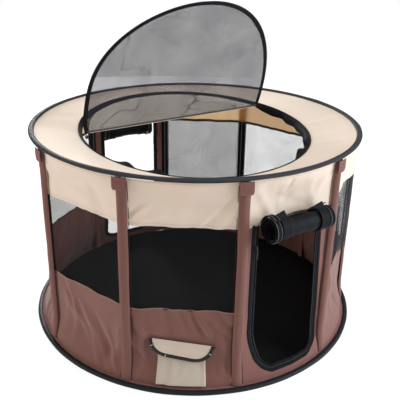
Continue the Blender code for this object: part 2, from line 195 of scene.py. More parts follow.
def new_material(name, roughness, sheen=0.0, metallic=0.0, coat=0.0, shine=0.5):
    made = bpy.data.materials.new(f"{name}_look")
    made.use_nodes = True
    shader = made.node_tree.nodes["Principled BSDF"]
    settings = {
        "Roughness": roughness,
        "Metallic": metallic,
        "Sheen Weight": sheen,
        "Sheen Roughness": 0.45,
        "Specular IOR Level": shine,
        "Coat Weight": coat,
        "Coat Roughness": 0.35,
    }
    for socket, value in settings.items():
        shader.inputs[socket].default_value = value
    return made, made.node_tree, shader


def cloth_coordinates(tree, turned=0.0):
    """The cloth's own lengths, in metres, turned by that many degrees."""
    uv = add(tree, "ShaderNodeUVMap", {"uv_map": "cloth"}).outputs["UV"]
    return add(tree, "ShaderNodeMapping", Vector=uv, Rotation=(0, 0, radians(turned))).outputs["Vector"]


def threads(tree, vector, direction, period):
    """Parallel threads across the cloth, one every period."""
    settings = {"bands_direction": direction, "wave_profile": "SIN"}
    return add(tree, "ShaderNodeTexWave", settings, Vector=vector, Scale=pi / 10 / period).outputs["Fac"]


def maths(tree, operation, a, b, c=0.0):
    return add(tree, "ShaderNodeMath", {"operation": operation}, i0=a, i1=b, i2=c).outputs[0]


def blend(tree, total, *parts):
    """A number plus some outputs, each times its weight."""
    for output, weight in parts:
        total = maths(tree, "MULTIPLY_ADD", output, weight, total)
    return total


def noise(tree, vector, scale, detail=3.0, rough=0.55):
    made = add(tree, "ShaderNodeTexNoise", Vector=vector, Scale=scale, Detail=detail, Roughness=rough)
    return made.outputs["Fac"]


def tint(tree, shader, factor, colour, spread):
    """The surface's colour, from darker to paler than that colour by the factor."""
    made = add(tree, "ShaderNodeMix", {"data_type": "RGBA"})
    tree.links.new(factor, made.inputs["Factor"])
    for socket, by in ((6, 1 - spread), (7, 1 + spread)):
        made.inputs[socket].default_value = (*(c * by for c in colour), 1.0)
    tree.links.new(made.outputs[2], shader.inputs["Base Color"])


def emboss(tree, shader, height, strength, distance):
    bump = add(tree, "ShaderNodeBump", Height=height, Strength=strength, Distance=distance)
    tree.links.new(bump.outputs["Normal"], shader.inputs["Normal"])


def woven(
    name, colour, period=0.0011, roughness=0.85, sheen=0.0, ribs=False, coat=0.0, spread=0.09, lift=0.00018,
    shine=0.2, lets_through=0.0,
):
    """Plain weave, or a narrow tape with ribs across it. lets_through is its share of light from behind."""
    made, tree, shader = new_material(name, roughness, sheen, coat=coat, shine=shine)
    lengths = cloth_coordinates(tree)
    warp = threads(tree, lengths, "X", period)
    weft = threads(tree, lengths, "Y", period * (6 if ribs else 1))
    if ribs:
        height = maths(tree, "MAXIMUM", warp, maths(tree, "MULTIPLY", weft, 0.4))
    else:
        crossed = maths(tree, "MULTIPLY", blend(tree, -0.5, (warp, 1.0)), blend(tree, -0.5, (weft, 1.0)))
        height = blend(tree, 0.5, (crossed, 2.0))
    clouds, fibres = noise(tree, lengths, 9.0, 4.0), noise(tree, lengths, 1100.0, 2.0)
    tint(tree, shader, blend(tree, 0.0, (clouds, 0.55), (fibres, 0.25), (height, 0.2)), colour, spread)
    relief = blend(tree, 0.0, (height, 1.0), (noise(tree, lengths, 38.0, 5.0, 0.6), 4.0))
    emboss(tree, shader, relief, 0.45, lift)
    if lets_through:
        glow = add(tree, "ShaderNodeBsdfTranslucent", Color=(*colour, 1.0))
        mix = add(tree, "ShaderNodeMixShader", i0=lets_through, i1=shader.outputs[0], i2=glow.outputs[0])
        tree.links.new(mix.outputs[0], tree.nodes["Material Output"].inputs["Surface"])
    return made


def netting(name, colour, period, open_share, creased=0.0):
    """Knitted net. open_share is the part of it that is holes, and creased how far creases close them."""
    made, tree, shader = new_material(name, 0.6, shine=0.12)
    lengths = cloth_coordinates(tree, 45.0)
    level = 0.5 + 0.5 * cos(pi * (1 - sqrt(open_share)))
    thread = maths(tree, "MAXIMUM", threads(tree, lengths, "X", period), threads(tree, lengths, "Y", period))
    tone = noise(tree, lengths, 9.0, 5.0)
    covered = blend(tree, -0.175 * creased, (thread, 1.0), (tone, 0.35 * creased))
    if creased:
        for scale in (4.0, 7.0):
            wander = blend(tree, -0.5, (noise(tree, lengths, scale, 1.5, 0.4), 1.0))
            line = maths(tree, "LESS_THAN", maths(tree, "ABSOLUTE", wander, 0.0), 0.0020)
            covered = blend(tree, covered, (line, 0.17 * creased))
    tree.links.new(maths(tree, "GREATER_THAN", covered, level), shader.inputs["Alpha"])
    tint(tree, shader, tone, colour, 0.4)
    emboss(tree, shader, thread, 0.4, 0.0002)
    return made


def metal(name, colour, roughness):
    made, tree, shader = new_material(name, roughness, metallic=1.0)
    fine = noise(tree, add(tree, "ShaderNodeTexCoord").outputs["Object"], 160.0, 4.0)
    tint(tree, shader, fine, colour, 0.15)
    worn = add(tree, "ShaderNodeMapRange", Value=fine)
    worn.inputs["To Min"].default_value = roughness - 0.08
    worn.inputs["To Max"].default_value = roughness + 0.12
    tree.links.new(worn.outputs[0], shader.inputs["Roughness"])
    emboss(tree, shader, fine, 0.2, 0.0001)
    return made


def tape(name, colour, period=0.0014, **settings):
    return woven(name, colour, period, ribs=True, **settings)


BEIGE = woven("beige_cloth", (0.83, 0.70, 0.585), spread=0.05)
# The pocket's cloth is the beige made darker: mostly painted shade of the low front panel, partly the brown
# wall showing through its thinner cloth.
SHADED_POCKET_CLOTH = woven("pocket_shaded_cloth", (0.52, 0.435, 0.355), spread=0.06)
# The flap's cloth is the beige made darker: painted shade.
SHADED_FLAP_CLOTH = woven("flap_shaded_cloth", (0.63, 0.51, 0.41), spread=0.06)
FIXED_CLOTH = woven("fixed_cloth", (0.90, 0.80, 0.70), spread=0.04)
BAND_CLOTH = woven("band_cloth", (0.95, 0.80, 0.67), spread=0.05, lets_through=0.27)
BEIGE_LINING = woven("beige_lining", (0.96, 0.83, 0.62), spread=0.06, lets_through=0.92)
BROWN = woven("brown_cloth", (0.203, 0.087, 0.071), sheen=0.35)
BROWN_TAPE = tape("brown_tape", (0.186, 0.083, 0.067), sheen=0.10)
BLACK_TAPE = tape("black_tape", (0.007, 0.007, 0.009), 0.0013, roughness=0.7, spread=0.3, shine=0.12)
SHINY_TAPE = tape("shiny_tape", (0.009, 0.009, 0.011), 0.0013, roughness=0.38, coat=0.15)
BASE_TAPE = tape("base_tape", (0.011, 0.012, 0.015), 0.0016, roughness=0.55, spread=0.25)
CHARCOAL_TAPE = tape("charcoal_tape", (0.034, 0.034, 0.039), roughness=0.7, spread=0.2)
# A brown much darker than the cloth: painted shade in the groove along each sleeve's edges.
SEAM_SHADE_LINE = woven("seam_shade_line", (0.050, 0.020, 0.017), 0.0010, spread=0.2)
HEM_TAPE = tape("hem_tape", (0.100, 0.078, 0.062), spread=0.2)
# Grey: a painted highlight line down the middle of the seam tapes inside, and the piping round the rolls'
# ends.
PIPING = tape("piping", (0.13, 0.13, 0.14), 0.0010, roughness=0.5, spread=0.1)
DARK_PIPING = tape("dark_piping", (0.040, 0.040, 0.044), 0.0010, roughness=0.5, spread=0.1)
FLOOR = woven("floor", (0.0118, 0.0118, 0.0126), 0.0014, roughness=0.95, spread=0.3, shine=0.02)
HOOK_PAD = woven("hook_pad", (0.020, 0.018, 0.018), 0.0016, roughness=0.9, lift=0.0006, spread=0.3)
# Brown thread for the stitches, and a paler brown painted highlight along the lower bands' folded top edge.
BROWN_THREAD_AND_HIGHLIGHT = woven("brown_thread_and_highlight", (0.33, 0.18, 0.155), 0.0005, roughness=0.55)
THREAD_CREAM = woven("cream_thread", (0.62, 0.50, 0.36), 0.0005, roughness=0.55)
THREAD_GREY = woven("grey_thread", (0.06, 0.06, 0.065), 0.0005, roughness=0.5)
THREAD_WHITE = woven("white_thread", (0.45, 0.45, 0.45), 0.0005, roughness=0.5)
WINDOW_NET = netting("window_net", (0.010, 0.010, 0.012), 0.0021, 0.62)
# The rear windows' net is a paler copy of the window net: painted light on threads lit from inside.
LIT_REAR_NET = netting("lit_rear_net", (0.021, 0.021, 0.026), 0.0021, 0.59, 0.8)
DOUBLE_NET = netting("double_net", (0.026, 0.026, 0.032), 0.0019, 0.295, 0.8)
LID_NET = netting("lid_net", (0.023, 0.022, 0.030), 0.0018, 0.275, 1.2)
DOOR_NET = netting("door_net", (0.012, 0.012, 0.014), 0.0019, 0.30, 0.6)
STEEL = metal("steel", (0.58, 0.58, 0.60), 0.32)
ZIP_METAL = metal("zip_metal", (0.035, 0.035, 0.038), 0.40)
ZIP_TEETH = metal("zip_teeth", (0.030, 0.030, 0.034), 0.45)

FINISHES = {
    "beige_cloth": (BEIGE, SHADED_POCKET_CLOTH, SHADED_FLAP_CLOTH, FIXED_CLOTH, BAND_CLOTH, BEIGE_LINING, THREAD_CREAM),
    "brown_cloth": (BROWN, BROWN_TAPE, SEAM_SHADE_LINE, HEM_TAPE, BROWN_THREAD_AND_HIGHLIGHT),
    "black_binding": (BLACK_TAPE, SHINY_TAPE, BASE_TAPE, HOOK_PAD),
    "charcoal_binding": (CHARCOAL_TAPE, PIPING, DARK_PIPING, THREAD_GREY, THREAD_WHITE),
    "floor_cloth": (FLOOR,),
    "black_mesh": (WINDOW_NET, LIT_REAR_NET, DOUBLE_NET, LID_NET, DOOR_NET),
    "zip_metal": (ZIP_METAL, ZIP_TEETH),
}
SLOT_OF = {finish.name: slot_name for slot_name, finishes in FINISHES.items() for finish in finishes}


# --- Making pieces --------------------------------------------------------------------------------
def link(name, mesh, finish, body=ROOT, nodes=(), slot_name=None, place=None):
    """A new piece on a body, in place of those CAD nodes. slot_name is not used."""
    finishes = finish if isinstance(finish, tuple) else (finish,)
    made = bpy.data.objects.new(name, mesh)
    bpy.context.scene.collection.objects.link(made)
    for each in finishes:
        mesh.materials.append(each)
    if place is not None:
        made.matrix_world = place
    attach(made, body)
    slot_name or SLOT_OF[finishes[0].name]
    if nodes:
        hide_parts(*nodes)
    return made


def mesh_from(name, points, faces, lengths, inner_from=None, sharp=45):
    """A mesh with its cloth UVs. Faces from inner_from on take the second material."""
    mesh = bpy.data.meshes.new(name)
    mesh.from_pydata([tuple(p) for p in points], [], faces)
    uv = mesh.uv_layers.new(name="cloth")
    index = np.empty(len(mesh.loops), np.int32)
    mesh.loops.foreach_get("vertex_index", index)
    uv.data.foreach_set("uv", np.array(lengths, np.float32)[index].ravel())
    if inner_from is not None:
        mesh.polygons.foreach_set("material_index", (np.arange(len(faces)) >= inner_from).astype(np.int32))
    mesh.shade_smooth()
    mesh.set_sharp_from_angle(angle=radians(sharp))
    mesh.update()
    return mesh


def grid_normals(points, ring):
    """The unit normals of a grid of points, on its outer side, as an array like it."""
    along = np.roll(points, -1, 0) - np.roll(points, 1, 0) if ring else np.gradient(points, axis=0)
    normal = np.cross(along, np.gradient(points, axis=1))
    return normal / np.maximum(np.linalg.norm(normal, axis=2, keepdims=True), 1e-12)


def around(radius):
    """The cloth lengths of a sheet over azimuths at that radius."""
    return lambda azimuth, v: (radians(azimuth) * radius, v)


def sheet(name, place, us, vs, finish, thick=CLOTH, ring=False, lengths=None, **riding):
    """Cloth over a grid: place(u, v) is on its outer face, where u runs to the right and v up.

    With a thickness it is a closed solid, and a second finish is its inner face's.
    """
    columns, rows = len(us), len(vs)
    outer = np.array([[tuple(place(u, v)) for v in vs] for u in us])
    measured = [(u, v) if lengths is None else lengths(u, v) for u in us for v in vs]

    def at(i, j, side=0):
        return (side * columns + i % columns) * rows + j

    spans = range(columns if ring else columns - 1)
    cells = [(i, j) for i in spans for j in range(rows - 1)]
    faces = [[at(i, j), at(i + 1, j), at(i + 1, j + 1), at(i, j + 1)] for i, j in cells]
    if not thick:
        return link(name, mesh_from(name, outer.reshape(-1, 3), faces, measured), finish, **riding)
    inner = outer - grid_normals(outer, ring) * thick
    top, right = rows - 1, columns - 1
    for i in spans:
        faces.append([at(i + 1, 0), at(i, 0), at(i, 0, 1), at(i + 1, 0, 1)])
        faces.append([at(i, top), at(i + 1, top), at(i + 1, top, 1), at(i, top, 1)])
    if not ring:
        for j in range(rows - 1):
            faces.append([at(0, j), at(0, j + 1), at(0, j + 1, 1), at(0, j, 1)])
            faces.append([at(right, j + 1), at(right, j), at(right, j, 1), at(right, j + 1, 1)])
    inner_from = len(faces) if isinstance(finish, tuple) else None
    faces += [[at(i, j + 1, 1), at(i + 1, j + 1, 1), at(i + 1, j, 1), at(i, j, 1)] for i, j in cells]
    points = np.concatenate([outer.reshape(-1, 3), inner.reshape(-1, 3)])
    return link(name, mesh_from(name, points, faces, measured * 2, inner_from), finish, **riding)


def tube(name, path, section, finish, ring=False, **riding):
    """A bar along (centre, out, up) places. Its section is a loop of (out, up), or a function giving one."""
    points, lengths, faces = [], [], []
    travelled = 0.0
    for number, (centre, out, up) in enumerate(path):
        loop = section(number) if callable(section) else section
        if number:
            travelled += (centre - path[number - 1][0]).length
        perimeter = 0.0
        for k, (a, b) in enumerate(loop):
            points.append(centre + out * a + up * b)
            if k:
                perimeter += sqrt((a - loop[k - 1][0]) ** 2 + (b - loop[k - 1][1]) ** 2)
            lengths.append((travelled, perimeter))
    count, total = len(loop), len(path)
    for i in range(total if ring else total - 1):
        a, b = i * count, (i + 1) % total * count
        faces += [[a + k, b + k, b + (k + 1) % count, a + (k + 1) % count] for k in range(count)]
    if not ring:
        faces += [list(range(count)), list(range((total - 1) * count, total * count))[::-1]]
    mesh = mesh_from(name, points, faces, lengths)
    if Vector(mesh.polygons[0].normal).dot(mesh.polygons[0].center - path[0][0]) < 0:
        mesh.flip_normals()
    return link(name, mesh, finish, **riding)


def oval(wide, tall, count=14):
    return [(wide * cos(2 * pi * k / count), tall * sin(2 * pi * k / count)) for k in range(count)]


def bars(name, places, half, finish, shape=5, **riding):
    """Small rounded bars at (centre, along, normal) places. half is their half sizes along and across."""
    long, radius = half
    points, faces, lengths = [], [], []
    for centre, along, normal in places:
        side = along.cross(normal).normalized()
        first = len(points)
        for shift, r in ((-1.0, 0.36), (-0.6, 1.0), (0.6, 1.0), (1.0, 0.36)):
            for k in range(shape):
                angle = 2 * pi * k / shape
                spoke = side * cos(angle) + normal * sin(angle)
                points.append(centre + along * (shift * long) + spoke * (r * radius))
                lengths.append((shift * long, radius * angle))
        for a in (first, first + shape, first + 2 * shape):
            b = a + shape
            faces += [[a + k, a + (k + 1) % shape, b + (k + 1) % shape, b + k] for k in range(shape)]
        faces.append(list(range(first, first + shape))[::-1])
        faces.append(list(range(first + 3 * shape, first + 4 * shape)))
    return link(name, mesh_from(name, points, faces, lengths, sharp=80), finish, **riding)


def spaced(points, every):
    """Evenly spaced places along a line of points: (number of the stretch, place, direction)."""
    due = 0.0
    for number, (a, b) in enumerate(zip(points, points[1:], strict=False)):
        span = (b - a).length
        if span < 1e-9:
            continue
        direction = (b - a) / span
        while due < span:
            yield number, a + direction * due, direction
            due += every
        due -= span


def stitches(name, line, finish, **riding):
    """A row of stitches along a line of (point, outward normal)."""
    places = []
    for number, point, direction in spaced([point for point, _ in line], STITCH + STITCH_GAP):
        normal = line[number][1]
        places.append((point + normal * STITCH_R * 0.3, direction, normal))
    return bars(name, places, (STITCH / 2, STITCH_R), finish, **riding)


def headings(points):
    """The direction at each point of a line, from its neighbours."""
    last = len(points) - 1
    return [(points[min(k + 1, last)] - points[max(k - 1, 0)]).normalized() for k in range(last + 1)]


def creases(seed, count, half, bottom, top, height, angle=(60, 120), width=(0.006, 0.014)):
    """Random soft folds on a panel: each is (x, z, direction, half length, width, height)."""
    draw = np.random.RandomState(seed)
    made = []
    for _ in range(count):
        heading = radians(draw.uniform(*angle))
        x, z = draw.uniform(-half * 0.8, half * 0.8), draw.uniform(bottom, top)
        long, wide = draw.uniform(0.25, 0.6) * (top - bottom), draw.uniform(*width)
        tall = draw.uniform(0.4, 1.0) * height * draw.choice([-1, 1])
        made.append((x, z, (cos(heading), sin(heading)), long, wide, tall))
    return made


def drawn_folds(panel, table):
    """The listed folds of a panel, counted from the front door's towards +X."""
    number = panel if panel <= PANELS / 2 else panel - PANELS
    return [
        (x, z, (cos(radians(heading)), sin(radians(heading))), long, width, height)
        for x, z, heading, long, width, height in table.get(number, [])
    ]


def folded(x, z, folds):
    """How far those folds push the cloth out at a point."""
    total = 0.0
    for fx, fz, (dx, dz), long, width, height in folds:
        along, off = (x - fx) * dx + (z - fz) * dz, (x - fx) * -dz + (z - fz) * dx
        total += height * hill(off, width) * hill(along, long, 4)
    return total


def edge_fade(x, half, z, bottom, top, side=0.02, ends=0.015):
    return smooth((half - abs(x)) / side) * smooth((z - bottom) / ends) * smooth((top - z) / ends)


# --- Wall -----------------------------------------------------------------------------------------
# Folds of the panels by the front door, by the panel's number from it.
# Each is (x, z, heading, half length, width, height).
BAND_FOLDS = {
    -1: [
        (0.094, 0.502, 49, 0.075, 0.0085, -0.0040),
        (0.116, 0.495, 52, 0.060, 0.0100, 0.0040),
        (0.060, 0.476, 42, 0.040, 0.0080, 0.0034),
        (-0.105, 0.475, 38, 0.045, 0.0065, 0.0032),
        (-0.118, 0.470, 55, 0.035, 0.0055, -0.0030),
        (-0.070, 0.470, 20, 0.040, 0.0070, 0.0024),
        (-0.030, 0.520, 165, 0.090, 0.0150, -0.0026),
    ],
    0: [
        (-0.080, 0.500, 118, 0.060, 0.0110, 0.0040),
        (-0.020, 0.545, 75, 0.018, 0.0050, -0.0040),
        (0.070, 0.490, 60, 0.060, 0.0120, 0.0034),
        (0.020, 0.480, 155, 0.070, 0.0120, -0.0028),
    ],
    -2: [(-0.050, 0.500, 160, 0.100, 0.0140, 0.0030), (0.080, 0.480, 30, 0.060, 0.0120, -0.0024)],
}
LOWER_FOLDS = {
    -1: [
        (0.040, 0.180, 118, 0.050, 0.0075, -0.0060),
        (0.060, 0.170, 118, 0.050, 0.0080, 0.0055),
        (0.005, 0.190, 112, 0.035, 0.0070, -0.0045),
        (0.090, 0.160, 105, 0.060, 0.0090, 0.0040),
        (-0.118, 0.150, 100, 0.060, 0.0080, -0.0050),
        (-0.100, 0.150, 108, 0.060, 0.0085, 0.0045),
        (-0.070, 0.175, 120, 0.040, 0.0080, 0.0035),
        (0.115, 0.080, 80, 0.060, 0.0070, -0.0040),
        (0.100, 0.050, 130, 0.040, 0.0080, 0.0035),
        (-0.095, 0.060, 75, 0.050, 0.0090, 0.0035),
    ],
    -2: [
        (0.020, 0.110, 128, 0.100, 0.0110, 0.0040),
        (0.060, 0.090, 120, 0.080, 0.0090, -0.0038),
        (0.090, 0.070, 112, 0.060, 0.0070, 0.0034),
        (0.105, 0.110, 60, 0.070, 0.0090, -0.0030),
        (-0.060, 0.150, 140, 0.050, 0.0120, 0.0030),
    ],
}


def panel_place(azimuth):
    """The panel that an azimuth falls on, and how far across it."""
    turned = (azimuth + PANEL_DEG / 2) % 360
    return int(turned // PANEL_DEG) % PANELS, APOTHEM * sin(radians(turned % PANEL_DEG - PANEL_DEG / 2))


def side_bulge(panel, x, z):
    """The cloth right of the front door's panel stands out beside its far pole."""
    if panel != 1:
        return 0.0
    beside_pole = smooth((HALF_PANEL - 0.001 - x) / 0.014) * smooth((x - 0.03) / 0.07)
    return 0.0140 * beside_pole * (1 - 0.6 * roundness(z))


def make_upper_band():
    folds = {
        k: creases(100 + k, 7, HALF_PANEL, BEIGE_BOTTOM, WALL_TOP, 0.0022, (25, 155), (0.008, 0.018))
        + drawn_folds(k, BAND_FOLDS)
        for k in range(PANELS)
    }

    def place(azimuth, z):
        panel, x = panel_place(azimuth)
        fade = edge_fade(x, HALF_PANEL, z, BEIGE_BOTTOM - 0.03, WALL_TOP, 0.02, 0.02)
        wave = 0.0007 * sin(radians(azimuth) * 31) + 0.0004 * sin(radians(azimuth) * 77 + 1)
        drop = wave * smooth((BEIGE_BOTTOM + 0.03 - z) / 0.03)
        return wall_point(azimuth, folded(x, z, folds[panel]) * fade + side_bulge(panel, x, z), z + drop)

    azimuths = [i * 0.6 for i in range(600)]
    made = sheet(
        "upper_band_cloth", place, azimuths, steps(BEIGE_BOTTOM, WALL_TOP, 22), (BAND_CLOTH, BEIGE_LINING),
        ring=True, lengths=around(WALL_R), nodes=["upper_band"],
    )
    hem = sheet(
        "upper_band_hem", lambda a, z: place(a, z) - outward(a) * (CLOTH + 0.0002), azimuths,
        steps(BEIGE_BOTTOM + 0.0008, BEIGE_BOTTOM + 0.009, 3), HEM_TAPE, 0.0008,
        ring=True, lengths=around(WALL_R),
    )
    for k, z in enumerate((BEIGE_BOTTOM + 0.0075, WALL_TOP - 0.004)):
        line = [(place(a, z), outward(a)) for a in steps(0, 360, 900)]
        stitches(f"upper_band_stitching_{k}", line, THREAD_CREAM)


def lower_fold_field(panel):
    upright = creases(200 + panel, 5, HALF_PANEL, 0.04, BROWN_TOP, 0.0044, (75, 105), (0.007, 0.014))
    slanting = creases(300 + panel, 5, HALF_PANEL, 0.02, BROWN_TOP, 0.0036, (110, 150), (0.005, 0.010))
    return upright + slanting + drawn_folds(panel, LOWER_FOLDS)


def lower_out(azimuth, z, folds):
    """How far the brown cloth stands out from its plain wall, by its folds."""
    panel, x = panel_place(azimuth)
    fade = edge_fade(x, HALF_PANEL, z, WALL_BOTTOM, BROWN_TOP + 0.03, 0.018)
    if panel != PANELS - 1:
        return folded(x, z, folds[panel]) * fade
    # Behind the pocket the cloth lies flat, and it sinks along the flap's hinge, so the flap can turn up.
    over_pocket = smooth((0.095 - abs(x)) / 0.015)
    fade *= 1 - over_pocket * smooth((0.158 - z) / 0.03)
    return folded(x, z, folds[panel]) * fade - 0.0030 * over_pocket * hill(z - 0.134, 0.015, 4)


def make_lower_bands():
    folds = {k: lower_fold_field(k) for k in range(PANELS)}
    gap = degrees(0.0004 / WALL_R)
    first, last = PANEL_DEG / 2 + gap, 180 - PANEL_DEG / 2 - gap

    def place(azimuth, z):
        a = radians(azimuth)
        dip = (0.0014 * sin(a * 23) + 0.0008 * sin(a * 41 + 2)) * smooth((z - BROWN_TOP + 0.05) / 0.05)
        return wall_point(azimuth, lower_out(azimuth, z, folds), z + dip)

    for side, ends in (("right", (first, last)), ("left", (-last, -first))):
        azimuths = steps(*ends, 288)
        name = f"lower_band_{side}_cloth"
        made = sheet(
            name, place, azimuths, steps(WALL_BOTTOM, BROWN_TOP, 34), BROWN, lengths=around(WALL_R),
            nodes=[f"lower_band_{side}"],
        )
        # A paler brown roll along the band's folded top edge: a painted highlight.
        path = [
            (place(a, BROWN_TOP) + UP * 0.0004 - outward(a) * CLOTH / 2, outward(a), UP) for a in azimuths
        ]
        pieces = [tube(f"{name}_hem", path, oval(0.0010, 0.0012, 8), BROWN_THREAD_AND_HIGHLIGHT)]
        for k, drop in enumerate((0.0045, 0.0115)):
            line = [(place(a, BROWN_TOP - drop), outward(a)) for a in steps(*ends, 500)]
            pieces.append(stitches(f"{name}_stitching_{k}", line, BROWN_THREAD_AND_HIGHLIGHT))


def make_windows():
    bottom, top = low("mesh_band_left").z - 0.004, high("mesh_band_left").z + 0.004
    edge = HALF_PANEL - 0.001
    for side, sign in (("right", 1), ("left", -1)):
        for number in range(1, 5):
            azimuth = sign * number * PANEL_DEG
            # The net right of the front door is gathered, and the right one by the rear door is doubled.
            gathered, doubled = sign * number == 1, sign * number == 4
            slack = creases(400 + number * sign, 5, HALF_PANEL, bottom, top, 0.0020, (20, 160), (0.012, 0.03))
            if gathered:
                slack += creases(450, 9, HALF_PANEL, bottom, top, 0.0060, (70, 110), (0.006, 0.012))
                finish = DOOR_NET
            elif doubled:
                finish = DOUBLE_NET
            else:
                finish = WINDOW_NET if number < 3 else LIT_REAR_NET

            def place(x, z):
                fade = edge_fade(x, HALF_PANEL, z, bottom, top, 0.03, 0.03)
                bulge = side_bulge(1, x, z) if gathered else 0.0
                return panel_point(azimuth, x, -CLOTH - 0.0012 + folded(x, z, slack) * fade + bulge, z)

            xs, zs = steps(-edge, edge, 48 if gathered else 28), steps(bottom, top, 22)
            nodes = [f"mesh_band_{side}"] if number == 1 else []
            made = sheet(f"window_net_{side}_{number}", place, xs, zs, finish, 0, nodes=nodes)


def make_seam_tapes():
    """Each pole's seam inside: tape with a grey painted highlight line down its middle across the windows,
    cloth above and below.
    """
    parts = (
        ("foot", 0.012, BROWN_TOP, BROWN, 0.0088),
        ("tape", BROWN_TOP - 0.004, BEIGE_BOTTOM + 0.004, BLACK_TAPE, 0.0110),
        ("head", BEIGE_BOTTOM + 0.002, 0.560, BEIGE_LINING, 0.0110),
    )
    for number in range(PANELS):
        azimuth = (number + 0.5) * PANEL_DEG

        def place(x, z, inward=0.0):
            bow = 0.0006 * cos(pi * x / 0.022)
            return round_point(azimuth, WALL_R - 0.0062 - bow - inward, z) - outward(azimuth + 90) * x

        for part, bottom, top, finish, half in parts:
            xs, zs = steps(-half, half, 6), steps(bottom, top, 24)
            sheet(f"seam_{part}_{number + 1}", place, xs, zs, finish, 0.0009)
        # The grey strip down each tape's middle is a painted highlight.
        sheet(
            f"seam_piping_{number + 1}", lambda x, z: place(x, z, 0.0009), steps(-0.0013, 0.0013, 2),
            steps(BROWN_TOP, BEIGE_BOTTOM, 24), PIPING, 0.0006,
        )


# --- Poles ----------------------------------------------------------------------------------------
def make_sleeves():
    bottom, top = low("sleeve_1").z + 0.002, high("sleeve_1").z + 0.008
    crown = SLEEVE_FRONT - WALL_R - 0.0012
    right_shares = (0.2, 0.4, 0.62, 0.8, 0.93, 1)
    xs = [SLEEVE_HALF * s for s in (*(-s for s in reversed(right_shares)), 0, *right_shares)]
    for number in range(PANELS):
        azimuth = (number + 0.5) * PANEL_DEG
        phases = np.random.RandomState(500 + number).uniform(0, 2 * pi, 4)
        ripples = creases(520 + number, 9, SLEEVE_HALF, bottom, top, 0.0011, (35, 145), (0.004, 0.010))

        def place(x, z):
            wide = 1 + 0.03 * sin(17 * z + phases[0]) + 0.02 * sin(41 * z + phases[1])
            lean = 0.0008 * sin(11 * z + phases[2])
            share = x / SLEEVE_HALF
            rise = crown * max(0.0, 1 - abs(share) ** 2.2) ** 0.8 * (1 + 0.06 * sin(29 * z + phases[3]))
            out = 0.0012 + rise + folded(x, z, ripples) * max(0.0, 1 - share * share)
            flat = 1 - 0.45 * smooth(1 - z / 0.085)
            point = round_point(azimuth, WALL_R + flare(z) + min(out, crown + 0.0012) * flat, z)
            return point + outward(azimuth + 90) * (x * wide + lean)

        name = f"sleeve_{number + 1}"
        heights = steps(bottom, top, 70)
        made = sheet(f"{name}_webbing", place, xs, heights, BROWN_TAPE, 0.0009, nodes=[name])
        for end, sign in ENDS:
            # A dark line along each of the sleeve's edges: painted shade of the groove where the sleeve meets
            # the wall.
            edge = azimuth + sign * degrees((SLEEVE_HALF + 0.0012) / WALL_R)
            path = [
                (wall_point(edge, 0.0003, z), outward(azimuth), outward(azimuth + 90))
                for z in steps(bottom, top - 0.01, 60)
            ]
            tube(f"{name}_seam_{end}", path, oval(0.0005, 0.0008, 6), SEAM_SHADE_LINE)
            line = [(place(sign * SLEEVE_HALF * 0.86, z), outward(azimuth)) for z in steps(bottom, top, 140)]
            stitches(f"{name}_stitching_{end}", line, BROWN_THREAD_AND_HIGHLIGHT)


def make_tabs():
    """The flap over each rod's end: folded webbing, box-stitched, with a hook pad behind."""
    for number in range(PANELS):
        azimuth = (number + 0.5) * PANEL_DEG
        node, body = f"sleeve_tab_{number + 1}", f"tab_{number + 1}"
        bottom, top = low(node).z, high(node).z
        skew = np.random.RandomState(600 + number).uniform(-0.0008, 0.0008)

        def place(x, z, back=0.0):
            share = (z - bottom) / (top - bottom)
            round_in = 0.0025 * hill(z - bottom, 0.003)
            wide = 1 - round_in / TAB_HALF * (abs(x) / TAB_HALF) ** 6
            out = TAB_FRONT - back - 0.0010 * (x / TAB_HALF) ** 2 + 0.0006 * sin(pi * share)
            return turn(azimuth) @ Vector((x * wide + skew * (1 - share), -out, z))

        xs, zs = steps(-TAB_HALF, TAB_HALF, 14), steps(bottom, top, 12)
        sheet(f"{body}_webbing", place, xs, zs, BROWN_TAPE, 0.0017, body=body, nodes=[node])
        sheet(
            f"{body}_hooks", lambda x, z: place(x, z, 0.0019), steps(-TAB_HALF * 0.75, TAB_HALF * 0.75, 6),
            steps(bottom + 0.003, bottom + 0.018, 5), HOOK_PAD, 0.0005, body=body,
        )
        x, z0, z1 = TAB_HALF - 0.0028, bottom + 0.0028, top - 0.002
        line = [(place(-x, z), outward(azimuth)) for z in steps(z1, z0, 12)]
        line += [(place(each, z0), outward(azimuth)) for each in steps(-x, x, 12)]
        line += [(place(x, z), outward(azimuth)) for z in steps(z0, z1, 12)]
        stitches(f"{body}_stitching", line, BROWN_THREAD_AND_HIGHLIGHT, body=body)


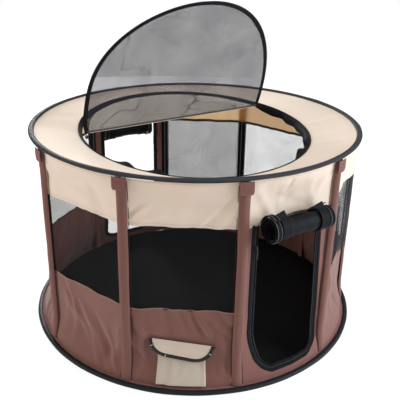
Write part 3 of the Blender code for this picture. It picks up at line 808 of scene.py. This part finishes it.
# --- Hoops and floor ------------------------------------------------------------------------------
def make_hoop_bindings():
    count = 400

    def hoop(radius, z):
        azimuths = [-360 * i / count for i in range(count)]
        return [(round_point(a, radius, z), outward(a), UP) for a in azimuths]

    def top_section(number):
        off = (-360 * number / count) % PANEL_DEG - PANEL_DEG / 2
        thick = 1 + 0.16 * hill(radians(off) * WALL_R, 0.026) + 0.03 * sin(number * 0.21)
        return [(a * (0.5 + 0.5 * thick), b * thick) for a, b in oval(0.0078, 0.0044, 16)]

    def base_section(number):
        thick = 1 + 0.03 * sin(number * 0.17) + 0.02 * sin(number * 0.43)
        return [(a * thick - 0.0008, b * thick) for a, b in oval(0.0080, 0.0062, 16)]

    top, base = hoop(TOP_HOOP_R, TOP_Z), hoop(BASE_HOOP_R, BASE_Z + 0.0001)
    tube("top_hoop_binding", top, top_section, CHARCOAL_TAPE, ring=True, nodes=["top_binding"])
    tube("base_hoop_binding", base, base_section, BASE_TAPE, ring=True, nodes=["base_binding"])
    for name, radius, z, lean, slot_name in (
        ("top_hoop_stitching", 0.4505, TOP_Z + 0.0036, 0.8, "charcoal_binding"),
        ("base_hoop_stitching", BASE_HOOP_R - 0.0066, BASE_Z + 0.0040, 1.0, "black_binding"),
    ):
        azimuths = steps(0, 360, 700)
        line = [(round_point(a, radius, z), (outward(a) + UP * lean).normalized()) for a in azimuths]
        stitches(name, line, THREAD_GREY, slot_name=slot_name)


def make_skirt():
    """Brown cloth that runs from the wall's foot out to the base hoop, puckered along its seam."""
    inner, outer = WALL_R + flare(WALL_BOTTOM) - 0.0030, BASE_HOOP_R - 0.0060

    def place(azimuth, share):
        """Share 0 is at the hoop and 1 at the wall."""
        pucker = 0.0012 * sin(radians(azimuth) * 61) + 0.0009 * sin(radians(azimuth) * 143 + 1)
        z = 0.0105 + 0.0020 * share + pucker * 0.6 * sin(pi * share)
        return round_point(azimuth, outer + (inner - outer) * share, z)

    sheet(
        "base_skirt", place, range(360), steps(0, 1, 6), BROWN, 0.0009, ring=True,
        lengths=lambda a, s: (radians(a) * WALL_R, s * 0.010),
    )


def make_floor():
    draw = np.random.RandomState(7)
    waves = [(draw.uniform(-30, 30), draw.uniform(-30, 30), draw.uniform(0, 2 * pi)) for _ in range(7)]

    def place(azimuth, radius):
        p = outward(azimuth) * radius
        lift = sum(sin(kx * p.x + ky * p.y + phase) for kx, ky, phase in waves)
        p.z = FLOOR_Z + 0.0004 + 0.0005 * (lift + 3.5) * smooth((FLOOR_R - radius) / 0.05)
        return p

    made = sheet(
        "floor_cloth", place, range(0, 360, 3), steps(FLOOR_R, 0.0002, 26), FLOOR, 0.0018, ring=True,
        lengths=lambda a, r: (r * sin(radians(a)), r * cos(radians(a))), nodes=["floor_sheet"],
    )


# --- Doors ----------------------------------------------------------------------------------------
def door_line(inset, straight=14, corner=14):
    """Points (across, z, angle) down the doorway's left side, round its bottom and up its right side.

    The angle is the place round a corner, and None along the straight stretches.
    """
    half, bottom, radius = DOOR_HALF - inset, DOOR_BOTTOM + inset, DOOR_CORNER - inset
    line = [(-half, z, None) for z in steps(BEIGE_BOTTOM + 0.003, bottom + radius, straight)[:-1]]
    for angle in steps(0, radians(90), corner):
        line.append((-half + radius - radius * cos(angle), bottom + radius - radius * sin(angle), angle))
    line += [(x, bottom, None) for x in steps(-half + radius, half - radius, 6)[1:-1]]
    return line + [(-x, z, a) for x, z, a in reversed(line) if x < -(half - radius) + 1e-6]


def surround_edge(across, z, angle):
    """The point on the panel's own edge that lies beyond a point of the doorway's line."""
    half, bottom = HALF_PANEL - 0.0004, WALL_BOTTOM
    side = -1 if across < 0 else 1
    centre_x, centre_z = DOOR_HALF - DOOR_CORNER, DOOR_BOTTOM + DOOR_CORNER
    if angle is None:
        return (side * half, z) if z > centre_z - 1e-6 else (across, bottom)
    reach = min((half - centre_x) / max(cos(angle), 1e-9), (centre_z - bottom) / max(sin(angle), 1e-9))
    return side * (centre_x + reach * cos(angle)), centre_z - reach * sin(angle)


def door_place(azimuth, x, out, z, folds):
    """A point by the doorway, which narrows towards its foot. The cloth's folds stay clear of the zip."""
    near_zip = smooth((z - 0.09) / 0.02) * (1 - smooth((abs(x) - 0.106) / 0.012))
    side, foot = smooth((HALF_PANEL - abs(x)) / 0.02), smooth((z - WALL_BOTTOM) / 0.02)
    push = folded(x, z, folds) * side * foot * (1 - near_zip)
    if x < 0:
        x += 0.0290 * smooth((0.158 - z) / 0.13) * side * smooth(-x / 0.09)
    elif azimuth == 0:
        x += (0.0130 * smooth((0.44 - z) / 0.36) - 0.0080) * side * smooth(x / 0.09)
    z += 0.0060 * smooth((0.085 - z) / 0.06) * foot
    return panel_point(azimuth, x, out + push, z)


def make_door_frames():
    line = door_line(0.0)
    edge = [surround_edge(*point) for point in line]
    travelled = [0.0]
    for a, b in zip(line, line[1:], strict=False):
        travelled.append(travelled[-1] + sqrt((a[0] - b[0]) ** 2 + (a[1] - b[1]) ** 2))
    for door, azimuth in DOORS:
        folds = creases(700 + azimuth, 10, HALF_PANEL, 0.01, 0.42, 0.0022, (40, 140), (0.006, 0.012))

        def strip(name, inner, outer, out, thick, rows, finish, node):
            def place(u, v):
                (x0, z0), (x1, z1) = outer[u][:2], inner[u][:2]
                return door_place(azimuth, x0 + (x1 - x0) * v, out, z0 + (z1 - z0) * v, folds)

            return sheet(
                f"{door}_door_{name}", place, range(len(inner)), steps(0, 1, rows), finish, thick,
                lengths=lambda u, v: (travelled[u], v * 0.03), nodes=[f"{door}_door_{node}"],
            )

        def swept(name, inset, out, section, finish):
            points = door_line(inset)
            face = outward(azimuth)
            ways = headings([panel_point(azimuth, x, 0, z) for x, z, _ in points])
            path = [
                (door_place(azimuth, x, out, z, folds), face, ahead.cross(face))
                for (x, z, _), ahead in zip(points, ways, strict=True)
            ]
            tube(f"{door}_door_{name}", path, section, finish)
            return path

        brown = strip("cloth", line, edge, 0.0, CLOTH, 6, BROWN, "surround")
        strip("tape", door_line(ZIP_TAPE), door_line(0.0006), -0.0003, 0.0010, 3, BLACK_TAPE, "zip_tape")
        swept("binding", -0.0016, 0.0006, oval(0.0017, 0.0042, 10), BLACK_TAPE)
        swept("piping", 0.0050, 0.0010, oval(0.0006, 0.0007, 8), DARK_PIPING)
        cord = swept("zip_cord", 0.0115, 0.0006, oval(0.0007, 0.0007, 6), BLACK_TAPE)
        teeth = []
        for number, point, _ in spaced([centre for centre, _, _ in cord], 0.0024):
            _, face, across = cord[number]
            teeth.append((point + face * 0.0008, across, face))
        bars(f"{door}_door_zip_teeth", teeth, (0.0019, 0.0007), ZIP_TEETH, 4)


def spiral(start_r, pitch, length, count, start_deg):
    """Points (out, up) of a rolled sheet's section, from its outer end inwards."""
    points, angle, radius = [], radians(start_deg), start_r
    for _ in range(count + 1):
        points.append((radius * cos(angle), radius * sin(angle)))
        turned = length / count / max(radius, 0.002)
        angle += turned
        radius = max(0.0035, radius - pitch * turned / (2 * pi))
    return points


def roll_place(azimuth):
    """The roll's own axes in the model: X along the roll, -Y out from the wall and Z up, from its middle."""
    tilt, rise = (ROLL_TILT, 0.010) if azimuth == 0 else (0.0, -0.012)
    centre = Matrix.Translation((-0.004, -APOTHEM - ROLL_OUT, ROLL_Z + rise))
    return turn(azimuth) @ centre @ Matrix.Rotation(tilt, 4, "Y")


def make_rolls():
    for door, azimuth in DOORS:
        placed = roll_place(azimuth)
        axes = placed.to_3x3()
        wobble = np.random.RandomState(800 + azimuth).uniform(0, 2 * pi, 6)
        dents = creases(820 + azimuth, 26, ROLL_HALF, 0.0, 0.40, 0.0016, (0, 180), (0.004, 0.012))

        def rolled(name, xs, coil, finish, thick=0.0, nodes=()):
            """A rolled sheet over xs. coil is (outer radius, pitch, length, steps, start in degrees)."""
            section = spiral(*coil)
            step = coil[2] / coil[3]

            def place(x, k):
                out, up = section[k]
                swell = 1 + folded(x, k * step, dents) / 0.03
                swell += 0.025 * sin(90 * x + wobble[0] + k * 0.11)
                swell += 0.020 * sin(47 * x + wobble[1] - k * 0.07)
                return placed @ Vector((x, -out * swell, up * swell))

            return sheet(
                f"{door}_rolled_{name}", place, xs, range(len(section)), finish, thick,
                lengths=lambda x, k: (x, k * step), nodes=nodes,
            )

        inset = ROLL_HALF - 0.011
        net_coil = (0.0280, 0.0046, 0.40, 150, 95)
        net = rolled("net", steps(-inset, inset, 60), net_coil, DOOR_NET, nodes=[f"{door}_door_roll"])
        rolled("lining", steps(-inset, inset, 40), (0.0248, 0.0044, 0.34, 120, 150), BLACK_TAPE, 0.0006)
        for end, sign in ENDS:
            xs = steps(*sorted((sign * (ROLL_HALF + 0.0005), sign * (ROLL_HALF - 0.0135))), 6)
            begin, radius = (60, 0.0350) if sign < 0 else (110, 0.0318)
            rolled(f"binding_{end}", xs, (radius, 0.0062, 0.44, 130, begin), BLACK_TAPE, 0.0016)
            for number, back in enumerate((0.0008, 0.0118)):
                path = []
                for k in range(150):
                    a, r = radians(begin + 4 * k), radius + 0.0008 - 0.0062 * k / 90
                    spoke = Vector((0, -cos(a), sin(a)))
                    centre = placed @ (Vector((sign * (ROLL_HALF - back), 0, 0)) + spoke * r)
                    path.append((centre, axes @ spoke, axes @ Vector((1, 0, 0))))
                tube(f"{door}_roll_piping_{end}_{number}", path, oval(0.0006, 0.0007, 6), PIPING)


def make_ties():
    for door, azimuth in DOORS:
        for end, _ in ENDS:
            node = f"{door}_roll_tie_{end}"
            middle = (turn(-azimuth) @ middle_of(node)).x
            line = [(TIE_R * cos(radians(a)), TIE_R * sin(radians(a))) for a in steps(110, 440, 60)]
            first_tail = len(line)
            # The free end leaves the roll's top and turns up.
            line += [(0.0045 - 0.004 * s, TIE_R + 0.0005 + 0.014 * s**1.4) for s in steps(0, 1, 12)]
            lean, sink = (-0.009, 0.009) if azimuth == 0 else (0.009, 0.0)

            def place(x, k):
                out, up = line[k]
                share = max(0, k - first_tail) / 12
                dip = sink * share * (0.5 - x / (2 * TIE_HALF))
                across = middle + x * (1 + 0.20 * share) + lean * share**1.3
                return roll_place(azimuth) @ Vector((across, -out, up - dip))

            sheet(
                f"{node}_strap", place, steps(-TIE_HALF, TIE_HALF, 8), range(len(line)), BLACK_TAPE,
                lengths=lambda x, k: (x, k * 0.0029), nodes=[node],
            )


# --- Pocket ---------------------------------------------------------------------------------------
def make_pocket():
    azimuth = -PANEL_DEG
    half, bottom, top = POCKET_HALF, POCKET_LOW, POCKET_HIGH
    folds = creases(900, 7, half, bottom, top, 0.0022, (30, 150), (0.006, 0.012))

    def place(x, z):
        near_edge = min(1.0, (half - abs(x)) / 0.004, (z - bottom) / 0.004)
        rise = POCKET_DEEP * sqrt(max(0.0, 1 - (1 - near_edge) ** 2))
        belly = 0.0016 * cos(pi * x / half / 2) * sin(pi * (z - bottom) / (top - bottom))
        soft = (folded(x, z, folds) + belly - 0.0012) * smooth((half - abs(x)) / 0.015)
        return panel_point(azimuth, x, 0.0014 + max(0.0, rise - 0.003) + soft, z)

    from_edge = (0.0, 0.0006, 0.0016, 0.003, 0.0045)
    xs = [-half + d for d in from_edge] + steps(-0.053, 0.053, 30) + [half - d for d in reversed(from_edge)]
    zs = [bottom + d for d in from_edge] + steps(0.026, top, 20)
    made = sheet("pocket_shaded_cloth", place, xs, zs, SHADED_POCKET_CLOTH, nodes=["pocket_body"])
    x, low_z, high_z = half - 0.007, bottom + 0.007, top - 0.002
    seams = ((-x, -x, high_z, low_z), (x, x, low_z, high_z), (-x, x, low_z, low_z))
    for k, (x0, x1, z0, z1) in enumerate(seams):
        points = zip(steps(x0, x1, 30), steps(z0, z1, 30), strict=True)
        line = [(place(*point), outward(azimuth)) for point in points]
        stitches(f"pocket_stitching_{k}", line, THREAD_CREAM)


def make_pocket_flap():
    azimuth = -PANEL_DEG
    face = outward(azimuth)
    hinge_place = Matrix.Translation((0, -(APOTHEM + 0.0014), FLAP_HINGE_Z))
    hinge = turn(azimuth) @ hinge_place @ Matrix.Rotation(FLAP_TILT, 4, "Y")
    folds = creases(930, 6, FLAP_HALF, -0.035, 0, 0.0012, (30, 150), (0.005, 0.012))

    def place(x, share):
        """Share 0 is at the free edge and 1 at the hinge."""
        wide = x / FLAP_HALF
        z = (-0.0430 * max(0.0, 1 - abs(wide) ** 5) * (0.90 + 0.10 * wide) - 0.0010) * (1 - share)
        slope = 0.0120 * smooth(-z / 0.016) + 0.0028
        return hinge @ Vector((x, -slope - folded(x, z, folds) * smooth(-z / 0.01), z))

    xs = [FLAP_HALF * sin(radians(a)) for a in steps(-90, 90, 40)]
    made = sheet(
        "pocket_flap_cloth", place, xs, steps(0, 1, 14), SHADED_FLAP_CLOTH, 0.0010,
        lengths=lambda x, s: (x, s * 0.04), body="pocket_cover", nodes=["pocket_flap"],
    )
    free_edge = [place(x, 0.0) for x in xs]
    path = [
        (point - face * 0.0004, face, ahead.cross(face))
        for point, ahead in zip(free_edge, headings(free_edge), strict=True)
    ]
    binding = tube("pocket_flap_binding", path, oval(0.0022, 0.0055, 12), SHINY_TAPE, body="pocket_cover")
    tacks = []
    for x in (-0.074, -0.034, 0.074):
        centre, out, across = path[min(range(len(xs)), key=lambda k: abs(xs[k] - x))]
        for shift in (-0.0007, 0.0, 0.0007):
            tacks.append((centre + out * 0.0023 + across.cross(out) * shift, across, out))
    tack_piece = bars("pocket_flap_tacks", tacks, (0.0042, 0.0005), THREAD_WHITE, body="pocket_cover")


# --- Top panel and lid ----------------------------------------------------------------------------
def make_top_panel():
    draw = np.random.RandomState(40).uniform
    ripples = [(draw(0, 360), draw(2.0, 5.0), draw(-1, 1) * 0.0022) for _ in range(34)]

    def place(azimuth, share):
        """Share 0 is at the hoop and 1 at the opening."""
        inner, outer = rim_point(RIM_R, azimuth, 0.0016), round_point(azimuth, TOP_PANEL_R, TOP_PANEL_Z)
        lift = sum(height * hill(signed(azimuth - centre), width) for centre, width, height in ripples)
        arch = abs(sin(pi * share))
        rise = lift * arch**0.7 * (0.6 + 0.4 * share) - 0.0030 * arch
        return outer + (inner - outer) * share + UP * rise

    def lengths(azimuth, share):
        radius = RIM_R + (1 - share) * (TOP_PANEL_R - RIM_R)
        return radius * sin(radians(azimuth)), radius * cos(radians(azimuth))

    made = sheet(
        "top_panel_cloth", place, [i * 1.5 for i in range(240)], steps(0, 1, 16), BEIGE,
        ring=True, lengths=lengths, nodes=["top_panel"],
    )
    for k, share in enumerate((0.965, 0.035)):
        line = [(place(a, share), UP) for a in steps(0, 360, 500)]
        stitches(f"top_panel_stitching_{k}", line, THREAD_CREAM)


# Where the opening's tape curls up: (azimuth, half width).
TAPE_CURLS = ((34, 7), (48, 5), (-50, 7), (-66, 6))


def make_rim():
    """The zip tape round the opening, wavy where nothing holds it, with its teeth on the free edge."""
    draw = np.random.RandomState(41)
    waves = [(n, draw.uniform(0, 2 * pi), draw.uniform(0.4, 1.0)) for n in (5, 9, 14, 23)]

    def wave(azimuth, shift=0.0):
        return sum(h * sin(n * radians(azimuth) + p + shift) for n, p, h in waves) / 2.2

    def place(azimuth, share):
        """Over the first part the tape turns down from the opening's edge, and the rest hangs."""
        behind = smooth((abs(signed(azimuth)) - 104) / 8)
        slack = wave(azimuth) * share * (1 - behind)
        curl = sum(hill(signed(azimuth) - at, width) for at, width in TAPE_CURLS)
        inward = 0.0070 * sin(min(share / 0.4, 1) * pi / 2) + 0.0040 * share + 0.0030 * slack
        right = 0.0035 * hill(azimuth - 85, 25) * (0.4 + sin(radians(azimuth) * 26 + 1))
        inward += share * (0.0100 * curl + right)
        drop = 0.0190 * share**1.4 * (1 - 0.5 * behind - curl) + 0.0040 * slack * sin(radians(azimuth) * 9)
        return rim_point(RIM_R - 0.0010 - inward, azimuth, 0.0010 - drop)

    made = sheet(
        "opening_tape", place, [i * 1.2 for i in range(300)], steps(0, 1, 8), BLACK_TAPE, 0.0009, ring=True,
        lengths=lambda a, s: (radians(a) * RIM_R, s * 0.021), nodes=["opening_zip_tape"],
    )
    made.data.flip_normals()
    azimuths = [-i for i in range(360)]

    def section(number):
        thick = 1 + 0.12 * wave(azimuths[number], 0.6)
        return [(a * thick, b * thick) for a, b in oval(0.0024, 0.0020, 10)]

    path = [(rim_point(RIM_R - 0.0012, a, 0.0016), outward(a), UP) for a in azimuths]
    tube("opening_binding", path, section, BLACK_TAPE, ring=True)
    teeth = [(place(a, 0.97) - outward(a) * 0.0006, UP, -outward(a)) for a in steps(-104, 104, 500)]
    bars("opening_teeth", teeth, (0.0019, 0.0007), ZIP_TEETH, 4)


def lid_half_width(back):
    return sqrt(max(LID_R * LID_R - back * back, 0.0))


def segment_area(first, last):
    """The area of the lid's disc between two distances back from its middle."""
    return sum(2 * lid_half_width(back) * (last - first) / 200 for back in steps(first, last, 200))


LID_PLACE = (
    Matrix.Translation(rim_place(0, FOLD_V, FOLD_RISE))
    @ Matrix.Rotation(RIM_TILT, 4, "X")
    @ Matrix.Rotation(pi, 4, "Z")
    @ Matrix.Rotation(LID_RAISED, 4, "X")
)


def lid_away(share):
    """The distance from the fold, for a share from 0 at the fold to 1 at the lid's tip."""
    return FOLD_GAP + (LID_REACH - FOLD_GAP) * share


def lid_point(side, share):
    """A point of the raised lid: side runs from -1 to 1 between its edges."""
    half = lid_half_width(FOLD_V - lid_away(share))
    middle = sin(pi * share) * (1 - side * side)
    slack = (0.0035 * sin(9 * side + 7 * share) + 0.0025 * sin(15 * share - 6 * side)) * middle
    across = side * half * (1 - 0.10 * share * share) + 0.020 * share * share
    across += 0.0130 * hill(share, 0.16) * smooth(side)
    bow = LID_BULGE * share * (1 - share)
    return LID_PLACE @ Vector((across, lid_away(share), bow + slack - FOLD_RISE + 0.0006))


def make_lid():
    # Shares crowd towards the tip, where the outline turns fastest.
    shares = [min(1 - (1 - s) ** 2, 0.9985) for s in steps(0, 0.997**0.5, 44)]
    net = sheet(
        "lid_net", lambda s, t: lid_point(-s, t), steps(-1, 1, 40), shares, LID_NET, 0,
        lengths=lambda s, t: (-s * lid_half_width(FOLD_V - lid_away(t)), lid_away(t)),
        body="lid", nodes=["lid_panel"],
    )
    edge = [lid_point(-1, t) for t in shares]
    edge += [lid_point(s, shares[-1]) for s in steps(-1, 1, 6)[1:-1]]
    edge += [lid_point(1, t) for t in reversed(shares)]
    middle = lid_point(0, 0.45)
    path = []
    for point, ahead in zip(edge, headings(edge), strict=True):
        inward = (middle - point).normalized()
        inward = (inward - ahead * inward.dot(ahead)).normalized()
        path.append((point + inward * 0.0050, inward, ahead.cross(inward)))
    outline = [(point - inward * 0.0035, inward, normal) for point, inward, normal in path]
    away, face = (LID_PLACE.to_3x3() @ Vector(axis) for axis in ((0, 1, 0), (0, 0, 1)))
    fold = [(lid_point(s, 0.004) + away * 0.003, away, face) for s in steps(-0.985, 0.985, 40)]
    pieces = [
        tube("lid_binding", path, oval(0.0064, 0.0013, 12), BLACK_TAPE, body="lid"),
        tube("lid_edge_cord", outline, oval(0.0018, 0.0018, 8), BLACK_TAPE, body="lid"),
        tube(
            "lid_fold_tape", fold, oval(0.0030, 0.0009, 8), HEM_TAPE, body="lid", slot_name="charcoal_binding"
        ),
    ]
    area = segment_area(-LID_R, FOLD_V)
    for piece in (net, *pieces):
        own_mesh(piece)
        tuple(face)


def make_fixed_lid():
    def place(side, back):
        across = side * lid_half_width(back)
        rise = 0.0014 + 0.0012 * sin(pi * (back - FOLD_V) / 0.2) * cos(side * 5)
        edge = rim_point(sqrt(across * across + back * back), 180 - degrees(atan2(across, back)), rise)
        flat = rim_place(across, back, rise)
        return flat + (edge - flat) * smooth((back - FOLD_V - 0.01) / 0.12)

    backs = [0.2985 - (0.2985 - FOLD_V - FOLD_GAP) * (1 - s) ** 1.5 for s in steps(0, 1, 24)]
    made = sheet(
        "lid_hinge_cloth", place, steps(-1, 1, 40), backs, FIXED_CLOTH, 0.0009,
        lengths=lambda s, b: (s * lid_half_width(b), b), nodes=["lid_fixed_panel"],
    )
    area = segment_area(FOLD_V, LID_R)


# --- Zip sliders ----------------------------------------------------------------------------------
def mirrored(half):
    """A closed outline from its half below the X axis."""
    return half + [(x, -y) for x, y in reversed(half) if y]


def prism(name, half, low_z, high_z, bevel, body, nodes=(), place=None):
    """A metal plate of that outline with rounded edges."""
    outline = mirrored(half)
    count = len(outline)
    points = [(x, y, z) for z in (low_z, high_z) for x, y in outline]
    faces = [list(range(count))[::-1], list(range(count, 2 * count))]
    faces += [[k, (k + 1) % count, count + (k + 1) % count, count + k] for k in range(count)]
    mesh = bpy.data.meshes.new(name)
    mesh.from_pydata(points, [], faces)
    shell = bmesh.new()
    shell.from_mesh(mesh)
    bmesh.ops.recalc_face_normals(shell, faces=shell.faces)
    bmesh.ops.bevel(shell, geom=shell.edges[:], offset=bevel, segments=2, affect="EDGES", profile=0.6)
    shell.to_mesh(mesh)
    shell.free()
    mesh.uv_layers.new(name="cloth")
    mesh.shade_smooth()
    mesh.set_sharp_from_angle(angle=radians(35))
    link(name, mesh, ZIP_METAL, body, nodes, place=place)


def make_slider(name, place, node):
    """A zip slider with X along the zip and Z out of it: two plates, a waist and the bridge for its pull."""
    plate = [(-0.0068, -0.0022), (-0.0045, -0.0042), (0.0030, -0.0044), (0.0066, -0.0030)]
    waist = [(-0.0060, -0.0020), (0.0058, -0.0016)]
    prism(f"{name}_plate", plate, 0.0012, 0.0024, 0.0004, name, [node], place)
    prism(f"{name}_waist", waist, -0.0022, 0.0014, 0.0004, name, place=place)
    prism(f"{name}_back_plate", plate, -0.0024, -0.0014, 0.0004, name, place=place)
    arch = []
    for a in steps(0, pi, 12):
        centre = Vector((-0.0046 * cos(a), 0, 0.0020 + 0.0022 * sin(a)))
        arch.append((centre, Vector((-cos(a), 0, sin(a))), Vector((0, 1, 0))))
    tube(f"{name}_bridge", arch, oval(0.0006, 0.0013, 8), ZIP_METAL, body=name, place=place)


def make_pull(name, long, body, nodes, place):
    """A flat pull with a rounded tail."""
    half = [
        (-0.0006, -0.0022), (0.010, -0.0026), (long - 0.004, -0.0030), (long - 0.001, -0.0018), (long, 0.0),
    ]
    prism(name, half, -0.0006, 0.0006, 0.0003, body, nodes, place)


def make_sliders():
    centre = middle_of("lid_slider")
    along_rim = Matrix.Rotation(RIM_TILT, 4, "X") @ turn(degrees(atan2(centre.x, -centre.y)))
    make_slider("lid_zip_slider", Matrix.Translation(centre) @ along_rim, "lid_slider")
    pull_place = Matrix.Translation(middle_of("lid_pull")) @ along_rim @ Matrix.Translation((-0.0122, 0, 0))
    make_pull("lid_zip_pull", 0.0255, "lid_zip_pull", ["lid_pull"], pull_place)
    # X down the zip, Z out of the wall.
    axes = Matrix(((0, -1, 0, 0), (0, 0, -1, 0), (-1, 0, 0, 0), (0, 0, 0, 1)))
    for door, azimuth in DOORS:
        body = f"{door}_zip_slider"
        place = Matrix.Translation(middle_of(f"{door}_door_slider")) @ turn(azimuth) @ axes
        make_slider(body, place, f"{door}_door_slider")
        make_pull(f"{door}_zip_pull", 0.0240, body, (), place @ Matrix.Translation((0.002, 0, 0.0048)))


# --- CAD pieces that stay -------------------------------------------------------------------------
def finish_frame_nodes():
    for name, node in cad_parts.items():
        if name.startswith("rod_") or name.endswith("_hoop"):
            node.data.materials.clear()
            node.data.materials.append(STEEL)


# --- Stage, lights and camera ---------------------------------------------------------------------
def make_stage():
    bpy.ops.mesh.primitive_circle_add(vertices=96, radius=3.2, fill_type="NGON", location=(0, 0, -0.0004))
    floor = bpy.context.object
    floor.name = "stage_floor"
    paper, _, shader = new_material("stage", 0.9, shine=0.1)
    shader.inputs["Base Color"].default_value = (0.14, 0.14, 0.14, 1.0)
    shader.inputs["Emission Color"].default_value = (1.0, 1.0, 1.0, 1.0)
    shader.inputs["Emission Strength"].default_value = 0.92
    floor.data.materials.append(paper)


def area_light(name, azimuth, away, height, size, power, colour=(1.0, 1.0, 1.0)):
    light = bpy.data.lights.new(name, "AREA")
    light.size, light.energy, light.color = size, power, colour
    made = bpy.data.objects.new(name, light)
    made.location = round_point(azimuth, away, height)
    made.rotation_euler = (Vector((0, 0, 0.3)) - made.location).to_track_quat("-Z", "Y").to_euler()
    bpy.context.scene.collection.objects.link(made)


def make_lights():
    world = bpy.data.worlds.new("studio")
    bpy.context.scene.world = world
    world.use_nodes = True
    tree = world.node_tree
    backdrop = tree.nodes["Background"]
    backdrop.inputs["Color"].default_value = (1, 1, 1, 1)
    backdrop.inputs["Strength"].default_value = 1.0
    soft = add(tree, "ShaderNodeBackground", Color=(1.0, 0.97, 0.92, 1.0), Strength=0.36)
    seen = add(tree, "ShaderNodeLightPath").outputs["Is Camera Ray"]
    mix = add(tree, "ShaderNodeMixShader", i0=seen, i1=soft.outputs[0], i2=backdrop.outputs[0])
    tree.links.new(mix.outputs[0], tree.nodes["World Output"].inputs["Surface"])
    area_light("key_right", 41, 3.2, 1.4, 2.0, 124, (0.81, 0.90, 1.0))
    area_light("fill_left", -108, 3.0, 1.4, 1.8, 41)
    area_light("top", 60, 0.4, 3.2, 1.8, 28)
    area_light("behind", 168, 3.4, 1.05, 0.8, 100)


FOCAL_MM, SENSOR_MM = 56.14, 36.0
CAMERA_TURN, CAMERA_PITCH, CAMERA_YAW, CAMERA_ROLL = -32.4, 0.41212, 0.009429, 0.017849
CAMERA_BACK, CAMERA_HEIGHT = 1.71952, 1.08068


def make_camera():
    level = Vector((sin(CAMERA_YAW), cos(CAMERA_YAW), 0))
    ahead = level * cos(CAMERA_PITCH) - UP * sin(CAMERA_PITCH)
    right = Vector((cos(CAMERA_YAW), -sin(CAMERA_YAW), 0))
    up = right.cross(ahead)
    rolled_right = right * cos(CAMERA_ROLL) + up * sin(CAMERA_ROLL)
    rolled_up = up * cos(CAMERA_ROLL) - right * sin(CAMERA_ROLL)
    axes = Matrix((rolled_right, rolled_up, -ahead)).transposed().to_4x4()
    lens = bpy.data.cameras.new("camera")
    lens.lens, lens.sensor_width = FOCAL_MM, SENSOR_MM
    made = bpy.data.objects.new("camera", lens)
    made.matrix_world = turn(CAMERA_TURN) @ Matrix.Translation((0, -CAMERA_BACK, CAMERA_HEIGHT)) @ axes
    bpy.context.scene.collection.objects.link(made)
    bpy.context.scene.camera = made


make_camera()
make_upper_band()
make_lower_bands()
make_windows()
make_seam_tapes()
make_sleeves()
make_tabs()
make_hoop_bindings()
make_skirt()
make_floor()
make_door_frames()
make_rolls()
make_ties()
make_pocket()
make_pocket_flap()
make_top_panel()
make_rim()
make_fixed_lid()
make_lid()
make_sliders()
finish_frame_nodes()
make_stage()
make_lights()
bpy.context.scene.view_settings.view_transform = "Standard"

bpy.context.view_layer.update()
